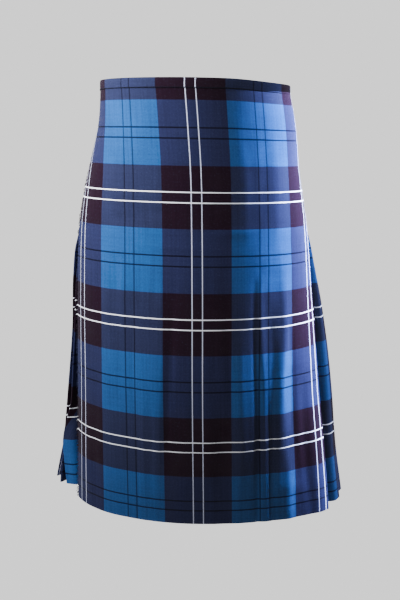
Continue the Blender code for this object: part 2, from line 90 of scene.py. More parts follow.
apronShape = table(
    ("below", "left", "right", "front", "back", "bluntLeft", "bluntRight", "centre"),
    (
        (0.000, 0.1387, 0.1300, 0.1141, 0.108, 2.10, 1.81, 0.0050),
        (0.055, 0.1416, 0.1413, 0.1121, 0.108, 2.12, 1.80, 0.0097),
        (0.120, 0.1554, 0.1488, 0.1145, 0.125, 2.14, 1.80, 0.0152),
        (0.200, 0.1705, 0.1624, 0.1213, 0.140, 2.17, 1.79, 0.0190),
        (0.300, 0.1757, 0.1763, 0.1327, 0.150, 2.20, 1.78, 0.0228),
        (0.420, 0.1753, 0.1959, 0.1431, 0.155, 2.24, 1.77, 0.0263),
        (0.520, 0.1763, 0.2150, 0.1443, 0.160, 2.27, 1.76, 0.0289),
        (0.610, 0.1775, 0.2354, 0.1424, 0.165, 2.30, 1.75, 0.0309),
    ),
)

pleatShape = table(
    ("below", "left", "right", "front", "back", "deep", "tuck", "nextY", "nextIn", "lastX", "lastY"),
    (
        (0.000, 0.1358, 0.1268, 0.110, 0.104, 0.0046, 0.005, 0.014, 0.0006, -0.1330, -0.004),
        (0.055, 0.1378, 0.1340, 0.109, 0.104, 0.0047, 0.006, 0.012, 0.0006, -0.1351, -0.007),
        (0.120, 0.1580, 0.1470, 0.113, 0.126, 0.0052, 0.008, -0.006, 0.0050, -0.1452, -0.026),
        (0.200, 0.1720, 0.1595, 0.121, 0.147, 0.0062, 0.010, -0.026, 0.0050, -0.1543, -0.047),
        (0.235, 0.1830, 0.1690, 0.124, 0.155, 0.0090, 0.012, -0.022, 0.0040, -0.1640, -0.040),
        (0.280, 0.1868, 0.1820, 0.128, 0.159, 0.0115, 0.014, -0.018, 0.0030, -0.1715, -0.034),
        (0.360, 0.1885, 0.1985, 0.134, 0.162, 0.0140, 0.016, -0.012, 0.0020, -0.1765, -0.030),
        (0.450, 0.1960, 0.2115, 0.139, 0.166, 0.0155, 0.017, -0.010, 0.0020, -0.1825, -0.026),
        (0.540, 0.2050, 0.2212, 0.141, 0.170, 0.0165, 0.018, -0.022, 0.0040, -0.1855, -0.026),
        (0.610, 0.2160, 0.2325, 0.142, 0.176, 0.0175, 0.018, -0.046, 0.0070, -0.1735, -0.045),
    ),
)

underShape = table(
    ("below", "startX", "startY", "inside", "insideLeft"),
    (
        (0.000, -0.1285, 0.004, 0.0024, 0.0098),
        (0.055, -0.1306, 0.002, 0.0024, 0.0107),
        (0.120, -0.1412, -0.014, 0.0026, 0.0106),
        (0.200, -0.1512, -0.032, 0.0032, 0.0096),
        (0.300, -0.1590, -0.014, 0.0050, 0.0092),
        (0.420, -0.1620, -0.008, 0.0070, 0.0095),
        (0.520, -0.1630, -0.008, 0.0085, 0.0100),
        (0.610, -0.1590, -0.022, 0.0100, 0.0100),
    ),
)

# Broad soft folds of the outer apron, which its solid has too
apronFolds = named(
    ("across", "from", "to", "high", "half"),
    (
        (0.093, 0.27, 0.62, -0.0022, 0.011),
        (0.118, 0.32, 0.66, 0.0020, 0.016),
        (-0.066, 0.24, 0.60, 0.0022, 0.018),
        (-0.105, 0.30, 0.66, -0.0018, 0.016),
        (0.030, 0.36, 0.68, -0.0016, 0.020),
        (0.185, 0.44, 0.70, 0.0030, 0.020),
    ),
)


def at(shape, name, below):
    # a smooth curve through the column's rows
    x, y = shape["below"], shape[name]
    slope = np.gradient(y, x)
    i = int(np.clip(np.searchsorted(x, below) - 1, 0, len(x) - 2))
    step = x[i + 1] - x[i]
    t = float(np.clip((below - x[i]) / step, 0, 1))
    ends = (1 + 2 * t) * (1 - t) ** 2 * y[i] + t * t * (3 - 2 * t) * y[i + 1]
    return ends + step * (t * (1 - t) ** 2 * slope[i] - t * t * (1 - t) * slope[i + 1])


def eased(t):
    t = np.clip(t, 0.0, 1.0)
    return t * t * (3 - 2 * t)


class Section:
    # a loop of cloth seen from above, made of four blunt or pointed quarters
    def __init__(self, left, right, front, back, bluntLeft=2.0, bluntRight=2.0, bluntBack=2.2):
        turn = np.linspace(-0.8 * math.pi, 2 * math.pi, 1401)
        c, s = np.cos(turn), np.sin(turn)
        wide = np.where(s < 0, left, right)
        deep = np.where(c > 0, front, back)
        blunt = np.where(c > 0, np.where(s < 0, bluntLeft, bluntRight), bluntBack)
        self.x = wide * np.sign(s) * np.abs(s) ** (2 / blunt)
        self.y = -deep * np.sign(c) * np.abs(c) ** (2 / blunt)
        along = np.concatenate([[0], np.cumsum(np.hypot(np.diff(self.x), np.diff(self.y)))])
        self.along = along - np.interp(0, turn, along)
        self.turn = turn

    def on(self, along):
        return np.stack([np.interp(along, self.along, way) for way in (self.x, self.y)], axis=-1)

    def point(self, along, out=0.0, reach=0.001):
        ahead = self.on(np.asarray(along) + reach) - self.on(np.asarray(along) - reach)
        ahead = ahead / np.linalg.norm(ahead, axis=-1, keepdims=True)
        side = np.stack([ahead[..., 1], -ahead[..., 0]], axis=-1)
        return self.on(along) + np.asarray(out)[..., None] * side

    def whereY(self, y, side):
        if side > 0:
            part = (self.turn >= 0) & (self.turn <= math.pi)
            return float(np.interp(y, self.y[part], self.along[part]))
        part = self.turn >= math.pi
        return float(np.interp(-y, -self.y[part], self.along[part]))


def apronSection(below):
    names = ("left", "right", "front", "back", "bluntLeft", "bluntRight")
    return Section(*(at(apronShape, name, below) for name in names))


def pleatSection(below):
    return Section(*(at(pleatShape, name, below) for name in ("left", "right", "front", "back")))


def freeEdge(below):
    return at(apronShape, "centre", below) - kilt["sett"] - kilt["cutBeyond"]


def foldedEdge(below):
    return at(apronShape, "centre", below) + kilt["sett"] + kilt["foldBeyond"]


def levelOf(x, below):
    dip = kilt["topDip"] * eased((x - 0.05) / 0.08) * eased(1 - below / 0.12)
    return kilt["rise"] - below - dip


def broadFolds(across, below):
    high = np.zeros_like(np.asarray(across, float))
    for fold in apronFolds:
        t = (below - fold["from"]) / (fold["to"] - fold["from"])
        rise = math.sin(math.pi * t) if 0 < t < 1 else 0.0
        high = high + fold["high"] * rise * np.exp(-(((across - fold["across"]) / fold["half"]) ** 2))
    return high


# Node helpers
number, color, vector = "NodeSocketFloat", "NodeSocketColor", "NodeSocketVector"
surfaceOutputs = (("Color", color), ("Height", number), ("Roughness", number))


def newMaterial(name):
    made = bpy.data.materials.new(name)
    made.use_nodes = True
    return made, made.node_tree, made.node_tree.nodes["Principled BSDF"]


def feed(tree, socket, value):
    # gives a socket another node's output, a number, a vector or a colour
    if isinstance(value, bpy.types.NodeSocket):
        tree.links.new(value, socket)
    elif socket.type == "RGBA" and len(value) == 3:
        socket.default_value = (*value, 1)
    else:
        socket.default_value = value


def feedAll(tree, node, values):
    for name, value in values.items():
        feed(tree, node.inputs[name], value)


def addNode(tree, kind, values=None, **settings):
    node = tree.nodes.new(kind)
    for name, value in settings.items():
        setattr(node, name, value)
    feedAll(tree, node, values or {})
    return node


def doMath(tree, operation, *values):
    node = addNode(tree, "ShaderNodeMath", operation=operation)
    for socket, value in zip(node.inputs, values):
        feed(tree, socket, value)
    return node.outputs[0]


def aroundZero(tree, share, value):
    return doMath(tree, "MULTIPLY", share, doMath(tree, "SUBTRACT", value, 0.5))


def softStep(tree, value, low, high, start=0.0, end=1.0):
    values = {"Value": value, "From Min": low, "From Max": high, "To Min": start, "To Max": end}
    return addNode(tree, "ShaderNodeMapRange", values, interpolation_type="SMOOTHSTEP").outputs["Result"]


def mixColors(tree, factor, a, b, blend="MIX"):
    node = addNode(tree, "ShaderNodeMix", data_type="RGBA", blend_type=blend)
    for i, value in ((0, factor), (6, a), (7, b)):
        feed(tree, node.inputs[i], value)
    return node.outputs[2]


def noiseAt(tree, place, scale, detail, rough=0.5):
    values = {"Vector": place, "Scale": scale, "Detail": detail, "Roughness": rough}
    return addNode(tree, "ShaderNodeTexNoise", values).outputs[0]


def stretched(tree, place, scale):
    return addNode(tree, "ShaderNodeMapping", {"Vector": place, "Scale": scale}).outputs[0]


def objectPlace(tree):
    return tree.nodes.new("ShaderNodeTexCoord").outputs["Object"]


def clothPlace(tree):
    return addNode(tree, "ShaderNodeUVMap", uv_map="cloth").outputs[0]


def newGroup(name, inputs, outputs):
    tree = bpy.data.node_groups.new(name, "ShaderNodeTree")
    for label, kind, value in inputs:
        socket = tree.interface.new_socket(label, in_out="INPUT", socket_type=kind)
        if value is not None:
            socket.default_value = value
    for label, kind in outputs:
        tree.interface.new_socket(label, in_out="OUTPUT", socket_type=kind)
    return tree, tree.nodes.new("NodeGroupInput").outputs, tree.nodes.new("NodeGroupOutput")


def useGroup(tree, group, values):
    return addNode(tree, "ShaderNodeGroup", values, node_tree=group).outputs


def dress(tree, shader, out, strength, distance, settings):
    # the shader takes its colour, roughness and bump from a group's outputs
    raised = {"Height": out["Height"], "Strength": strength, "Distance": distance}
    normal = addNode(tree, "ShaderNodeBump", raised).outputs[0]
    values = {"Base Color": out["Color"], "Roughness": out["Roughness"], "Normal": normal}
    feedAll(tree, shader, {**values, **settings})


# The check: how the cloth looks where yarns of one colour cross those of another
shades = {
    "blueOnBlue": (0.0112, 0.0590, 0.1850),
    "blueWarp": (0.0138, 0.0166, 0.0440),  # blue yarns down the cloth, brown ones across
    "blueWeft": (0.0129, 0.0150, 0.0462),
    "brown": (0.0084, 0.0030, 0.0074),
    "dark": (0.0014, 0.0012, 0.0035),
    "white": (0.95, 0.95, 1.0),
    "whiteWarp": (0.74, 0.77, 0.98),
    "fuzz": (0.07, 0.10, 0.17),
}
weave = {
    "thread": 0.00052,
    "rise": 0.1704,  # one repeat of the check down the cloth
    "firstPair": -0.0131,  # middle of the white pair nearest the top edge
    "brownAcross": 0.0471,  # half the brown zone round a white pair
    "brownDown": 0.0421,
    "stripeAt": 0.0070,  # each fine stripe from the middle of its pair
    "soft": 0.00025,
    "warpHalf": 0.00067,
    "weftHalf": 0.00078,
    "darkHalf": 0.00105,
    "cloudSize": 28.0,
    "slubSize": 420.0,
    "slubShade": 0.5,
    "streaks": (((330.0, 9.0, 1.0), 0.62), ((14.0, 300.0, 1.0), 0.30)),  # stretch and strength
    "twillShade": 0.22,
}


def makeStripeGroup():
    # masks by the distance across a symmetrical repeat: a white pair in brown, a dark pair in blue
    inputs = (
        ("Place", number, 0.0),
        ("Repeat", number, 0.19),
        ("Brown Half", number, 0.047),
        ("White Half", number, 0.001),
    )
    outputs = [(label, number) for label in ("Blue", "White", "Dark")]
    tree, start, end = newGroup("yarnStripe", inputs, outputs)
    soft, stripeAt = weave["soft"], weave["stripeAt"]
    half = doMath(tree, "MULTIPLY", start["Repeat"], 0.5)
    place = doMath(tree, "PINGPONG", start["Place"], half)
    beyond = doMath(tree, "SUBTRACT", place, start["Brown Half"])
    whiteOff = doMath(tree, "ABSOLUTE", doMath(tree, "SUBTRACT", place, stripeAt))
    past = doMath(tree, "SUBTRACT", whiteOff, start["White Half"])
    fromDark = doMath(tree, "SUBTRACT", half, place)
    darkOff = doMath(tree, "ABSOLUTE", doMath(tree, "SUBTRACT", fromDark, stripeAt))
    masks = {
        "Blue": softStep(tree, beyond, -soft, soft),
        "White": softStep(tree, past, -soft, soft, 1.0, 0.0),
        "Dark": softStep(tree, darkOff, weave["darkHalf"] - soft, weave["darkHalf"] + soft, 1.0, 0.0),
    }
    feedAll(tree, end, masks)
    return tree


stripeGroup = makeStripeGroup()


def stripes(tree, place, repeat, brownHalf, whiteHalf):
    values = {"Place": place, "Repeat": repeat, "Brown Half": brownHalf, "White Half": whiteHalf}
    return useGroup(tree, stripeGroup, values)


def stripesDown(tree, v):
    down = doMath(tree, "SUBTRACT", v, weave["firstPair"])
    return stripes(tree, down, weave["rise"], weave["brownDown"], weave["weftHalf"])


def makeClothGroup():
    # two yarn directions crossed in a twill, with the raised yarns as height
    inputs = (("Cloth", vector, None), ("Mottle", number, 0.1), ("Fuzz", number, 0.1))
    tree, start, end = newGroup("checkTwill", inputs, surfaceOutputs)
    place, thread = start["Cloth"], weave["thread"]
    parts = addNode(tree, "ShaderNodeSeparateXYZ", {"Vector": place}).outputs
    u, v = parts["X"], parts["Y"]
    warp = stripes(tree, u, kilt["sett"], weave["brownAcross"], weave["warpHalf"])
    weft = stripesDown(tree, v)
    underBrown = mixColors(tree, weft["Blue"], shades["brown"], shades["blueWeft"])
    underBlue = mixColors(tree, weft["Blue"], shades["blueWarp"], shades["blueOnBlue"])
    shown = mixColors(tree, warp["Blue"], underBrown, underBlue)
    diagonal = doMath(tree, "DIVIDE", doMath(tree, "ADD", u, v), 4 * thread)
    over = softStep(tree, doMath(tree, "PINGPONG", diagonal, 0.5), 0.14, 0.36)
    cloud = noiseAt(tree, place, weave["cloudSize"], 4.0, 0.6)
    slub = noiseAt(tree, place, weave["slubSize"], 2.0)
    cloudy = doMath(tree, "MULTIPLY", aroundZero(tree, start["Mottle"], cloud), 2.0)
    grain = aroundZero(tree, weave["slubShade"], slub)
    for scale, share in weave["streaks"]:
        streak = noiseAt(tree, stretched(tree, place, scale), 1.0, 3.0, 0.55)
        grain = doMath(tree, "ADD", grain, aroundZero(tree, share, streak))
    grain = doMath(tree, "ADD", grain, aroundZero(tree, weave["twillShade"], over))
    bright = doMath(tree, "ADD", 1.0, doMath(tree, "ADD", cloudy, grain))
    shade = addNode(tree, "ShaderNodeCombineXYZ", {"X": bright, "Y": bright, "Z": bright})
    shown = mixColors(tree, 1.0, shown, shade.outputs[0], "MULTIPLY")
    loose = doMath(tree, "MULTIPLY", start["Fuzz"], softStep(tree, slub, 0.55, 0.75))
    shown = mixColors(tree, loose, shown, shades["fuzz"])

    def stripe(mask, under, above):
        # a stripe shows less where its yarns pass under the others
        return doMath(tree, "MULTIPLY", mask, softStep(tree, over, 0.0, 1.0, under, above))

    dark = doMath(tree, "MAXIMUM", stripe(warp["Dark"], 0.50, 0.80), stripe(weft["Dark"], 0.95, 0.75))
    shown = mixColors(tree, dark, shown, shades["dark"])
    shown = mixColors(tree, stripe(warp["White"], 0.58, 0.90), shown, shades["whiteWarp"])
    shown = mixColors(tree, stripe(weft["White"], 1.0, 0.86), shown, shades["white"])
    yarns, picks = (doMath(tree, "PINGPONG", doMath(tree, "DIVIDE", way, thread), 0.5) for way in (u, v))
    warpHigh = doMath(tree, "MULTIPLY", over, yarns)
    weftHigh = doMath(tree, "MULTIPLY", doMath(tree, "SUBTRACT", 1.0, over), picks)
    height = doMath(tree, "ADD", warpHigh, weftHigh)
    height = doMath(tree, "ADD", height, doMath(tree, "MULTIPLY", slub, 0.4))
    rough = softStep(tree, cloud, 0.3, 0.7, 0.74, 0.90)
    feedAll(tree, end, {"Color": shown, "Height": height, "Roughness": rough})
    return tree


clothGroup = makeClothGroup()


def makeCloth(name, fuzz, sheen):
    made, tree, shader = newMaterial(name)
    out = useGroup(tree, clothGroup, {"Cloth": clothPlace(tree), "Mottle": 0.22, "Fuzz": fuzz})
    settings = {
        "Sheen Weight": sheen,
        "Sheen Roughness": 0.3,
        "Sheen Tint": (0.45, 0.62, 1.0),
        "Specular IOR Level": 0.12,
    }
    dress(tree, shader, out, 0.25, 0.0004, settings)
    return made


apronCloth = makeCloth("apronCloth", 0.05, 0.025)
pleatCloth = makeCloth("pleatCloth", 0.05, 0.02)
bandCloth = makeCloth("bandCloth", 0.06, 0.025)
print("cloth materials made")


def makeLeather():
    inputs = (("Grain Size", number, 900.0), ("Wear", number, 0.3), ("Tone", color, (0.02, 0.018, 0.017, 1)))
    tree, start, end = newGroup("leatherGrain", inputs, surfaceOutputs)
    place = objectPlace(tree)
    grain = {"Vector": place, "Scale": start["Grain Size"]}
    cells = addNode(tree, "ShaderNodeTexVoronoi", grain, feature="DISTANCE_TO_EDGE")
    cloud = noiseAt(tree, place, 60.0, 6.0)
    crack = softStep(tree, cells.outputs["Distance"], 0.0, 0.18)
    worn = doMath(tree, "MULTIPLY", softStep(tree, cloud, 0.52, 0.75), start["Wear"])
    shown = mixColors(tree, worn, start["Tone"], (0.09, 0.075, 0.065))
    height = doMath(tree, "ADD", crack, doMath(tree, "MULTIPLY", cloud, 0.5))
    rough = softStep(tree, cloud, 0.3, 0.7, 0.36, 0.58)
    feedAll(tree, end, {"Color": shown, "Height": height, "Roughness": rough})
    return tree


leatherGroup = makeLeather()


def leatherMaterial(name, grain, wear, tone):
    made, tree, shader = newMaterial(name)
    out = useGroup(tree, leatherGroup, {"Grain Size": grain, "Wear": wear, "Tone": tone})
    dress(tree, shader, out, 0.35, 0.0002, {"Specular IOR Level": 0.45})
    return made


strapLeather = leatherMaterial("strapLeather", 1400.0, 0.35, (0.012, 0.010, 0.0095))
chapeLeather = leatherMaterial("chapeLeather", 1700.0, 0.25, (0.010, 0.009, 0.0085))


def makeMetal():
    tree, start, end = newGroup("handledMetal", (("Scratch", number, 0.3),), surfaceOutputs)
    place = objectPlace(tree)
    cloud = noiseAt(tree, place, 180.0, 5.0)
    lines = noiseAt(tree, stretched(tree, place, (4000.0, 300.0, 300.0)), 1.0, 2.0)
    shown = mixColors(tree, softStep(tree, cloud, 0.5, 0.8), (0.66, 0.66, 0.68), (0.38, 0.37, 0.36))
    height = doMath(tree, "MULTIPLY", lines, start["Scratch"])
    rough = softStep(tree, cloud, 0.35, 0.75, 0.16, 0.42)
    feedAll(tree, end, {"Color": shown, "Height": height, "Roughness": rough})
    return tree


metalGroup = makeMetal()


def metalMaterial(name, scratch):
    made, tree, shader = newMaterial(name)
    dress(tree, shader, useGroup(tree, metalGroup, {"Scratch": scratch}), 0.15, 0.0001, {"Metallic": 1.0})
    return made


buckleMetal = metalMaterial("buckleMetal", 0.3)
prongMetal = metalMaterial("prongMetal", 0.5)


def yarnMaterial(name, dyed):
    # loose yarn: the fringe takes the colour of the weft it comes out of, the sewing thread is plain
    made, tree, shader = newMaterial(name)
    place = clothPlace(tree)
    noise = noiseAt(tree, place, 900.0, 2.0)
    if dyed:
        parts = addNode(tree, "ShaderNodeSeparateXYZ", {"Vector": place}).outputs
        weft = stripesDown(tree, parts["Y"])
        shown = mixColors(tree, weft["Blue"], shades["brown"], shades["blueWeft"])
        shown = mixColors(tree, weft["White"], shown, shades["white"])
        shown = mixColors(tree, softStep(tree, noise, 0.45, 0.75, 0.0, 0.06), shown, shades["fuzz"])
    else:
        # nearly black thread; along the waistband it also serves as painted shadow under the band's edge
        shown = mixColors(tree, noise, (0.002, 0.002, 0.004), (0.010, 0.010, 0.016))
    winding = {"Vector": place, "Scale": 260.0, "Distortion": 1.0}
    twist = addNode(tree, "ShaderNodeTexWave", winding, wave_type="BANDS", bands_direction="DIAGONAL")
    out = {"Color": shown, "Height": twist.outputs["Fac"], "Roughness": 0.85}
    dress(tree, shader, out, 0.4, 0.0003, {"Specular IOR Level": 0.1})
    return made


fringeYarn = yarnMaterial("fringeYarn", True)
sewingThread = yarnMaterial("sewingThread", False)
print("leather, metal and yarn materials made")


# Mesh helpers

def newPiece(name, verts, faces, uvs, material, slotName=None, nodes=(), sharp=50):
    mesh = bpy.data.meshes.new(name)
    mesh.from_pydata(np.asarray(verts, float).tolist(), [], faces)
    layer = mesh.uv_layers.new(name="cloth")
    layer.data.foreach_set("uv", np.asarray(uvs, np.float32).reshape(-1))
    mesh.shade_smooth()
    if sharp:
        mesh.set_sharp_from_angle(angle=math.radians(sharp))
    mesh.materials.append(material)
    piece = bpy.data.objects.new(name, mesh)
    bpy.context.scene.collection.objects.link(piece)
    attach(piece, "root")
    if nodes:
        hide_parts(*nodes)
    return piece


def gridNormals(grid):
    rows = np.gradient(grid, axis=0)
    cols = np.gradient(grid, axis=1)
    normal = np.cross(cols, rows)
    return normal / np.maximum(np.linalg.norm(normal, axis=2, keepdims=True), 1e-12)


def lengthsOf(line):
    return np.concatenate([[0], np.cumsum(np.linalg.norm(np.diff(line, axis=0), axis=1))])


def sideSteps(line):
    # for each point of an open plan line, the sideways step that keeps a strip's width through its bends
    ahead = np.diff(line, axis=0)
    ahead /= np.maximum(np.linalg.norm(ahead, axis=1), 1e-9)[:, None]
    side = np.stack([ahead[:, 1], -ahead[:, 0]], axis=1)
    before = np.concatenate([side[:1], side])
    after = np.concatenate([side, side[-1:]])
    both = before + after
    both /= np.maximum(np.linalg.norm(both, axis=1), 1e-9)[:, None]
    return both / np.clip((both * before).sum(axis=1), 0.62, 1)[:, None]


def addRings(parts, rings, marks, flip=False, looped=False):
    # joins rings of points into a skin, closed at both ends unless it loops; one mark for each ring
    verts, faces, uvs = parts
    start, sides, count = len(verts), len(rings[0]), len(rings)
    for ring in rings:
        verts.extend(ring)
    made = []
    for j in range(count if looped else count - 1):
        here, there = start + j * sides, start + (j + 1) % count * sides
        for k in range(sides):
            k2 = (k + 1) % sides
            made.append((here + k, here + k2, there + k2, there + k))
    if not looped:
        made.append(tuple(start + k for k in range(sides))[::-1])
        made.append(tuple(start + (count - 1) * sides + k for k in range(sides)))
    for face in made:
        face = face[::-1] if flip else face
        faces.append(face)
        uvs.extend(marks[(corner - start) // sides] for corner in face)


def bluntRing(count, flat, edge):
    # a round outline pushed out towards a rectangle
    points = []
    for turn in np.linspace(0, 2 * math.pi, count, endpoint=False):
        c, s = math.cos(turn), math.sin(turn)
        points.append((math.copysign(abs(c) ** flat, c), math.copysign(abs(s) ** edge, s)))
    return points


def shellParts(outer, inner, before, after, v):
    high, wide = v.shape
    place = np.arange(high * wide).reshape(high, wide)
    left, right = np.stack([after, v], axis=-1), np.stack([before, v], axis=-1)
    faces, uvs = [], []

    def add(corners, marks, flip, shifts=(0, 0, 0, 0)):
        face = np.stack([c.reshape(-1) + s * high * wide for c, s in zip(corners, shifts)], axis=1)
        mark = np.stack([m.reshape(-1, 2) for m in marks], axis=1)
        faces.append(face[:, ::-1] if flip else face)
        uvs.append(mark[:, ::-1] if flip else mark)

    corners = (place[:-1, :-1], place[:-1, 1:], place[1:, 1:], place[1:, :-1])
    marks = (left[:-1, :-1], right[:-1, 1:], right[1:, 1:], left[1:, :-1])
    add(corners, marks, True)
    add(corners, marks, False, (1, 1, 1, 1))
    for j, flip in ((0, False), (-1, True)):
        a, b, markA, markB = place[j, :-1], place[j, 1:], left[j, :-1], right[j, 1:]
        add((a, b, b, a), (markA, markB, markB, markA), flip, (0, 0, 1, 1))
    for k, flip, marked in ((0, True, left), (-1, False, right)):
        a, b, markA, markB = place[:-1, k], place[1:, k], marked[:-1, k], marked[1:, k]
        add((a, b, b, a), (markA, markB, markB, markA), flip, (0, 0, 1, 1))
    verts = np.concatenate([outer.reshape(-1, 3), inner.reshape(-1, 3)])
    return verts, np.concatenate(faces).tolist(), np.concatenate(uvs)


def clothShell(name, grid, before, after, v, thick, material, nodes):
    # a thin shell on a grid of points, rows down the cloth and columns along it
    step = np.zeros_like(grid)
    for j in range(len(grid)):
        step[j, :, :2] = sideSteps(grid[j, :, :2])
    verts, faces, uvs = shellParts(grid + step * thick / 2, grid - step * thick / 2, before, after, v)
    return newPiece(name, verts, faces, uvs, material, "check_cloth", nodes)


def rounded(points, reaches, steps):
    # an open line with each inner corner replaced by a small curve; reaches and steps are one per corner
    points = np.asarray(points, float)
    line = [points[0]]
    for k in range(1, len(points) - 1):
        back, ahead = points[k - 1] - points[k], points[k + 1] - points[k]
        lengths = np.linalg.norm(back), np.linalg.norm(ahead)
        near = [min(reaches[k], 0.48 * length) for length in lengths]
        first = points[k] + back / max(lengths[0], 1e-9) * near[0]
        last = points[k] + ahead / max(lengths[1], 1e-9) * near[1]
        for t in np.linspace(0, 1, steps[k]):
            line.append((1 - t) ** 2 * first + 2 * t * (1 - t) * points[k] + t * t * last)
    line.append(points[-1])
    return np.array(line)


def spread(line, counts):
    # extra points in the straight stretches, the same number of them in every row
    out = [line[0]]
    for k in range(len(line) - 1):
        for t in np.linspace(0, 1, counts[k] + 2)[1:]:
            out.append(line[k] * (1 - t) + line[k + 1] * t)
    return np.array(out)


# Outer apron: the folds and creases that its cloth has settled into
apronLook = {
    "thick": 0.0011,
    "columns": 136,
    "rows": 172,
    # across the check, from and to below the top edge, lean, half width, height
    "creases": named(
        ("across", "from", "to", "lean", "half", "high"),
        (
            (0.084, 0.26, 0.66, 0.004, 0.0042, -0.0023),
            (0.094, 0.26, 0.64, 0.008, 0.0065, 0.0027),
            (0.109, 0.30, 0.52, 0.002, 0.0050, -0.0012),
            (0.126, 0.24, 0.52, -0.006, 0.0090, 0.0021),
            (0.143, 0.33, 0.56, 0.006, 0.0050, -0.0010),
            (0.106, 0.42, 0.64, 0.010, 0.0055, -0.0016),
            (0.132, 0.50, 0.66, 0.008, 0.0080, 0.0018),
            (0.166, 0.40, 0.66, 0.012, 0.0080, -0.0013),
            (0.060, 0.33, 0.62, -0.004, 0.0080, 0.0013),
            (0.044, 0.28, 0.50, 0.004, 0.0060, -0.0010),
            (-0.038, 0.24, 0.54, -0.010, 0.0055, -0.0013),
            (-0.052, 0.26, 0.60, -0.006, 0.0070, 0.0014),
            (-0.068, 0.34, 0.64, 0.004, 0.0050, -0.0009),
            (-0.088, 0.30, 0.62, 0.006, 0.0070, -0.0010),
            (-0.104, 0.22, 0.52, -0.004, 0.0070, 0.0009),
            (-0.130, 0.20, 0.45, -0.008, 0.0080, 0.0010),
            (-0.160, 0.36, 0.64, -0.006, 0.0090, -0.0012),
            (0.020, 0.40, 0.64, 0.003, 0.0090, 0.0012),
            (-0.006, 0.34, 0.60, -0.004, 0.0070, -0.0008),
            (0.064, 0.02, 0.24, 0.008, 0.0120, 0.0005),
            (0.078, 0.04, 0.22, 0.006, 0.0080, -0.0004),
            (0.098, 0.03, 0.20, 0.004, 0.0090, -0.0004),
            (0.118, 0.06, 0.26, 0.004, 0.0100, 0.0005),
        ),
    ),
    # below the top edge, from and to across the check, slope, half width, height
    "wrinkles": named(
        ("below", "from", "to", "slope", "half", "high"),
        (
            (0.158, -0.15, -0.04, 0.03, 0.0045, 0.0009),
            (0.176, -0.12, -0.03, 0.05, 0.0050, -0.0008),
            (0.190, -0.14, -0.05, -0.04, 0.0060, -0.0008),
            (0.222, -0.09, 0.02, 0.06, 0.0060, 0.0008),
            (0.205, 0.02, 0.10, -0.05, 0.0060, 0.0008),
            (0.248, 0.08, 0.18, 0.10, 0.0090, 0.0006),
            (0.224, 0.09, 0.17, -0.08, 0.0080, -0.0005),
            (0.110, 0.05, 0.15, 0.08, 0.0090, 0.0004),
            (0.402, 0.09, 0.16, -0.06, 0.0070, -0.0005),
            (0.560, 0.10, 0.17, 0.10, 0.0100, 0.0006),
        ),
    ),
}


def fineFolds(across, below):
    high = np.zeros_like(across)
    for crease in apronLook["creases"]:
        t = (below - crease["from"]) / (crease["to"] - crease["from"])
        if not 0 < t < 1:
            continue
        middle = crease["across"] + crease["lean"] * (t - 0.5)
        middle += 0.0015 * math.sin(9 * t + 40 * crease["across"])
        rise = math.sin(math.pi * t) ** 0.8
        high = high + crease["high"] * rise * np.exp(-(((across - middle) / crease["half"]) ** 2))
    for wrinkle in apronLook["wrinkles"]:
        t = np.clip((across - wrinkle["from"]) / (wrinkle["to"] - wrinkle["from"]), 0, 1)
        middle = wrinkle["below"] + wrinkle["slope"] * (across - wrinkle["from"])
        rise = wrinkle["high"] * np.sin(math.pi * t)
        high = high + rise * np.exp(-(((below - middle) / wrinkle["half"]) ** 2))
    ripple = np.sin(61 * across + 7 * below) * np.sin(23 * below + 17 * across + 1.3)
    return high + 0.00022 * ripple * eased((below - 0.02) / 0.1)


def turnedIn(below):
    return 2 * kilt["foldRound"] + 0.0001 + 0.004 * eased((below - 0.2) / 0.4)


def makeOuterApron():
    look = apronLook
    rows, marks, downs = [], [], []
    for below in np.linspace(kilt["bandDeep"] - 0.004, kilt["drop"], look["rows"]):
        section = apronSection(below)
        middle, edge = at(apronShape, "centre", below), foldedEdge(below)
        free = freeEdge(below) - 0.0033
        along = np.linspace(free, edge - 2.5 * kilt["foldRound"], look["columns"])
        across = along - middle
        out = broadFolds(across, below) + fineFolds(across, below)
        flat = section.point(along, out)
        edgeOut = float(out[-1])
        turns = (
            (edge, edgeOut),
            (edge, edgeOut - 2 * kilt["foldRound"]),
            (edge - 0.004, -turnedIn(below)),
            (edge - kilt["returnDeep"], -turnedIn(below)),
        )
        corner = [flat[-1]] + [section.point(place, np.array(high)) for place, high in turns]
        bend = rounded(corner, [0, 0.0012, 0.0012, 0.003, 0], [0, 5, 5, 3, 0])
        bend = spread(bend, [0] * (len(bend) - 2) + [5])
        line = np.concatenate([flat, bend[1:]])
        u = np.concatenate([across, across[-1] + lengthsOf(bend)[1:]])
        rows.append(np.column_stack([line, levelOf(line[:, 0], below)]))
        marks.append(u)
        downs.append(np.full(len(u), below))
    grid, u, v = np.array(rows), np.array(marks), np.array(downs)
    return clothShell("outerApron", grid, u, u, v, look["thick"], apronCloth, ["outer_apron"])


outerApron = makeOuterApron()
print("outer apron made")


def underRun(below, count):
    # where the under apron starts, the places along it and how far inside the outer apron it lies
    first = freeEdge(below) + 0.014
    last = foldedEdge(below) - kilt["returnDeep"] - 0.014
    along = np.linspace(first, last, count)
    near, far = at(underShape, "insideLeft", below), at(underShape, "inside", below)
    start = np.array([at(underShape, "startX", below), at(underShape, "startY", below)])
    return start, along, near + (far - near) * eased((along - first) / 0.05)


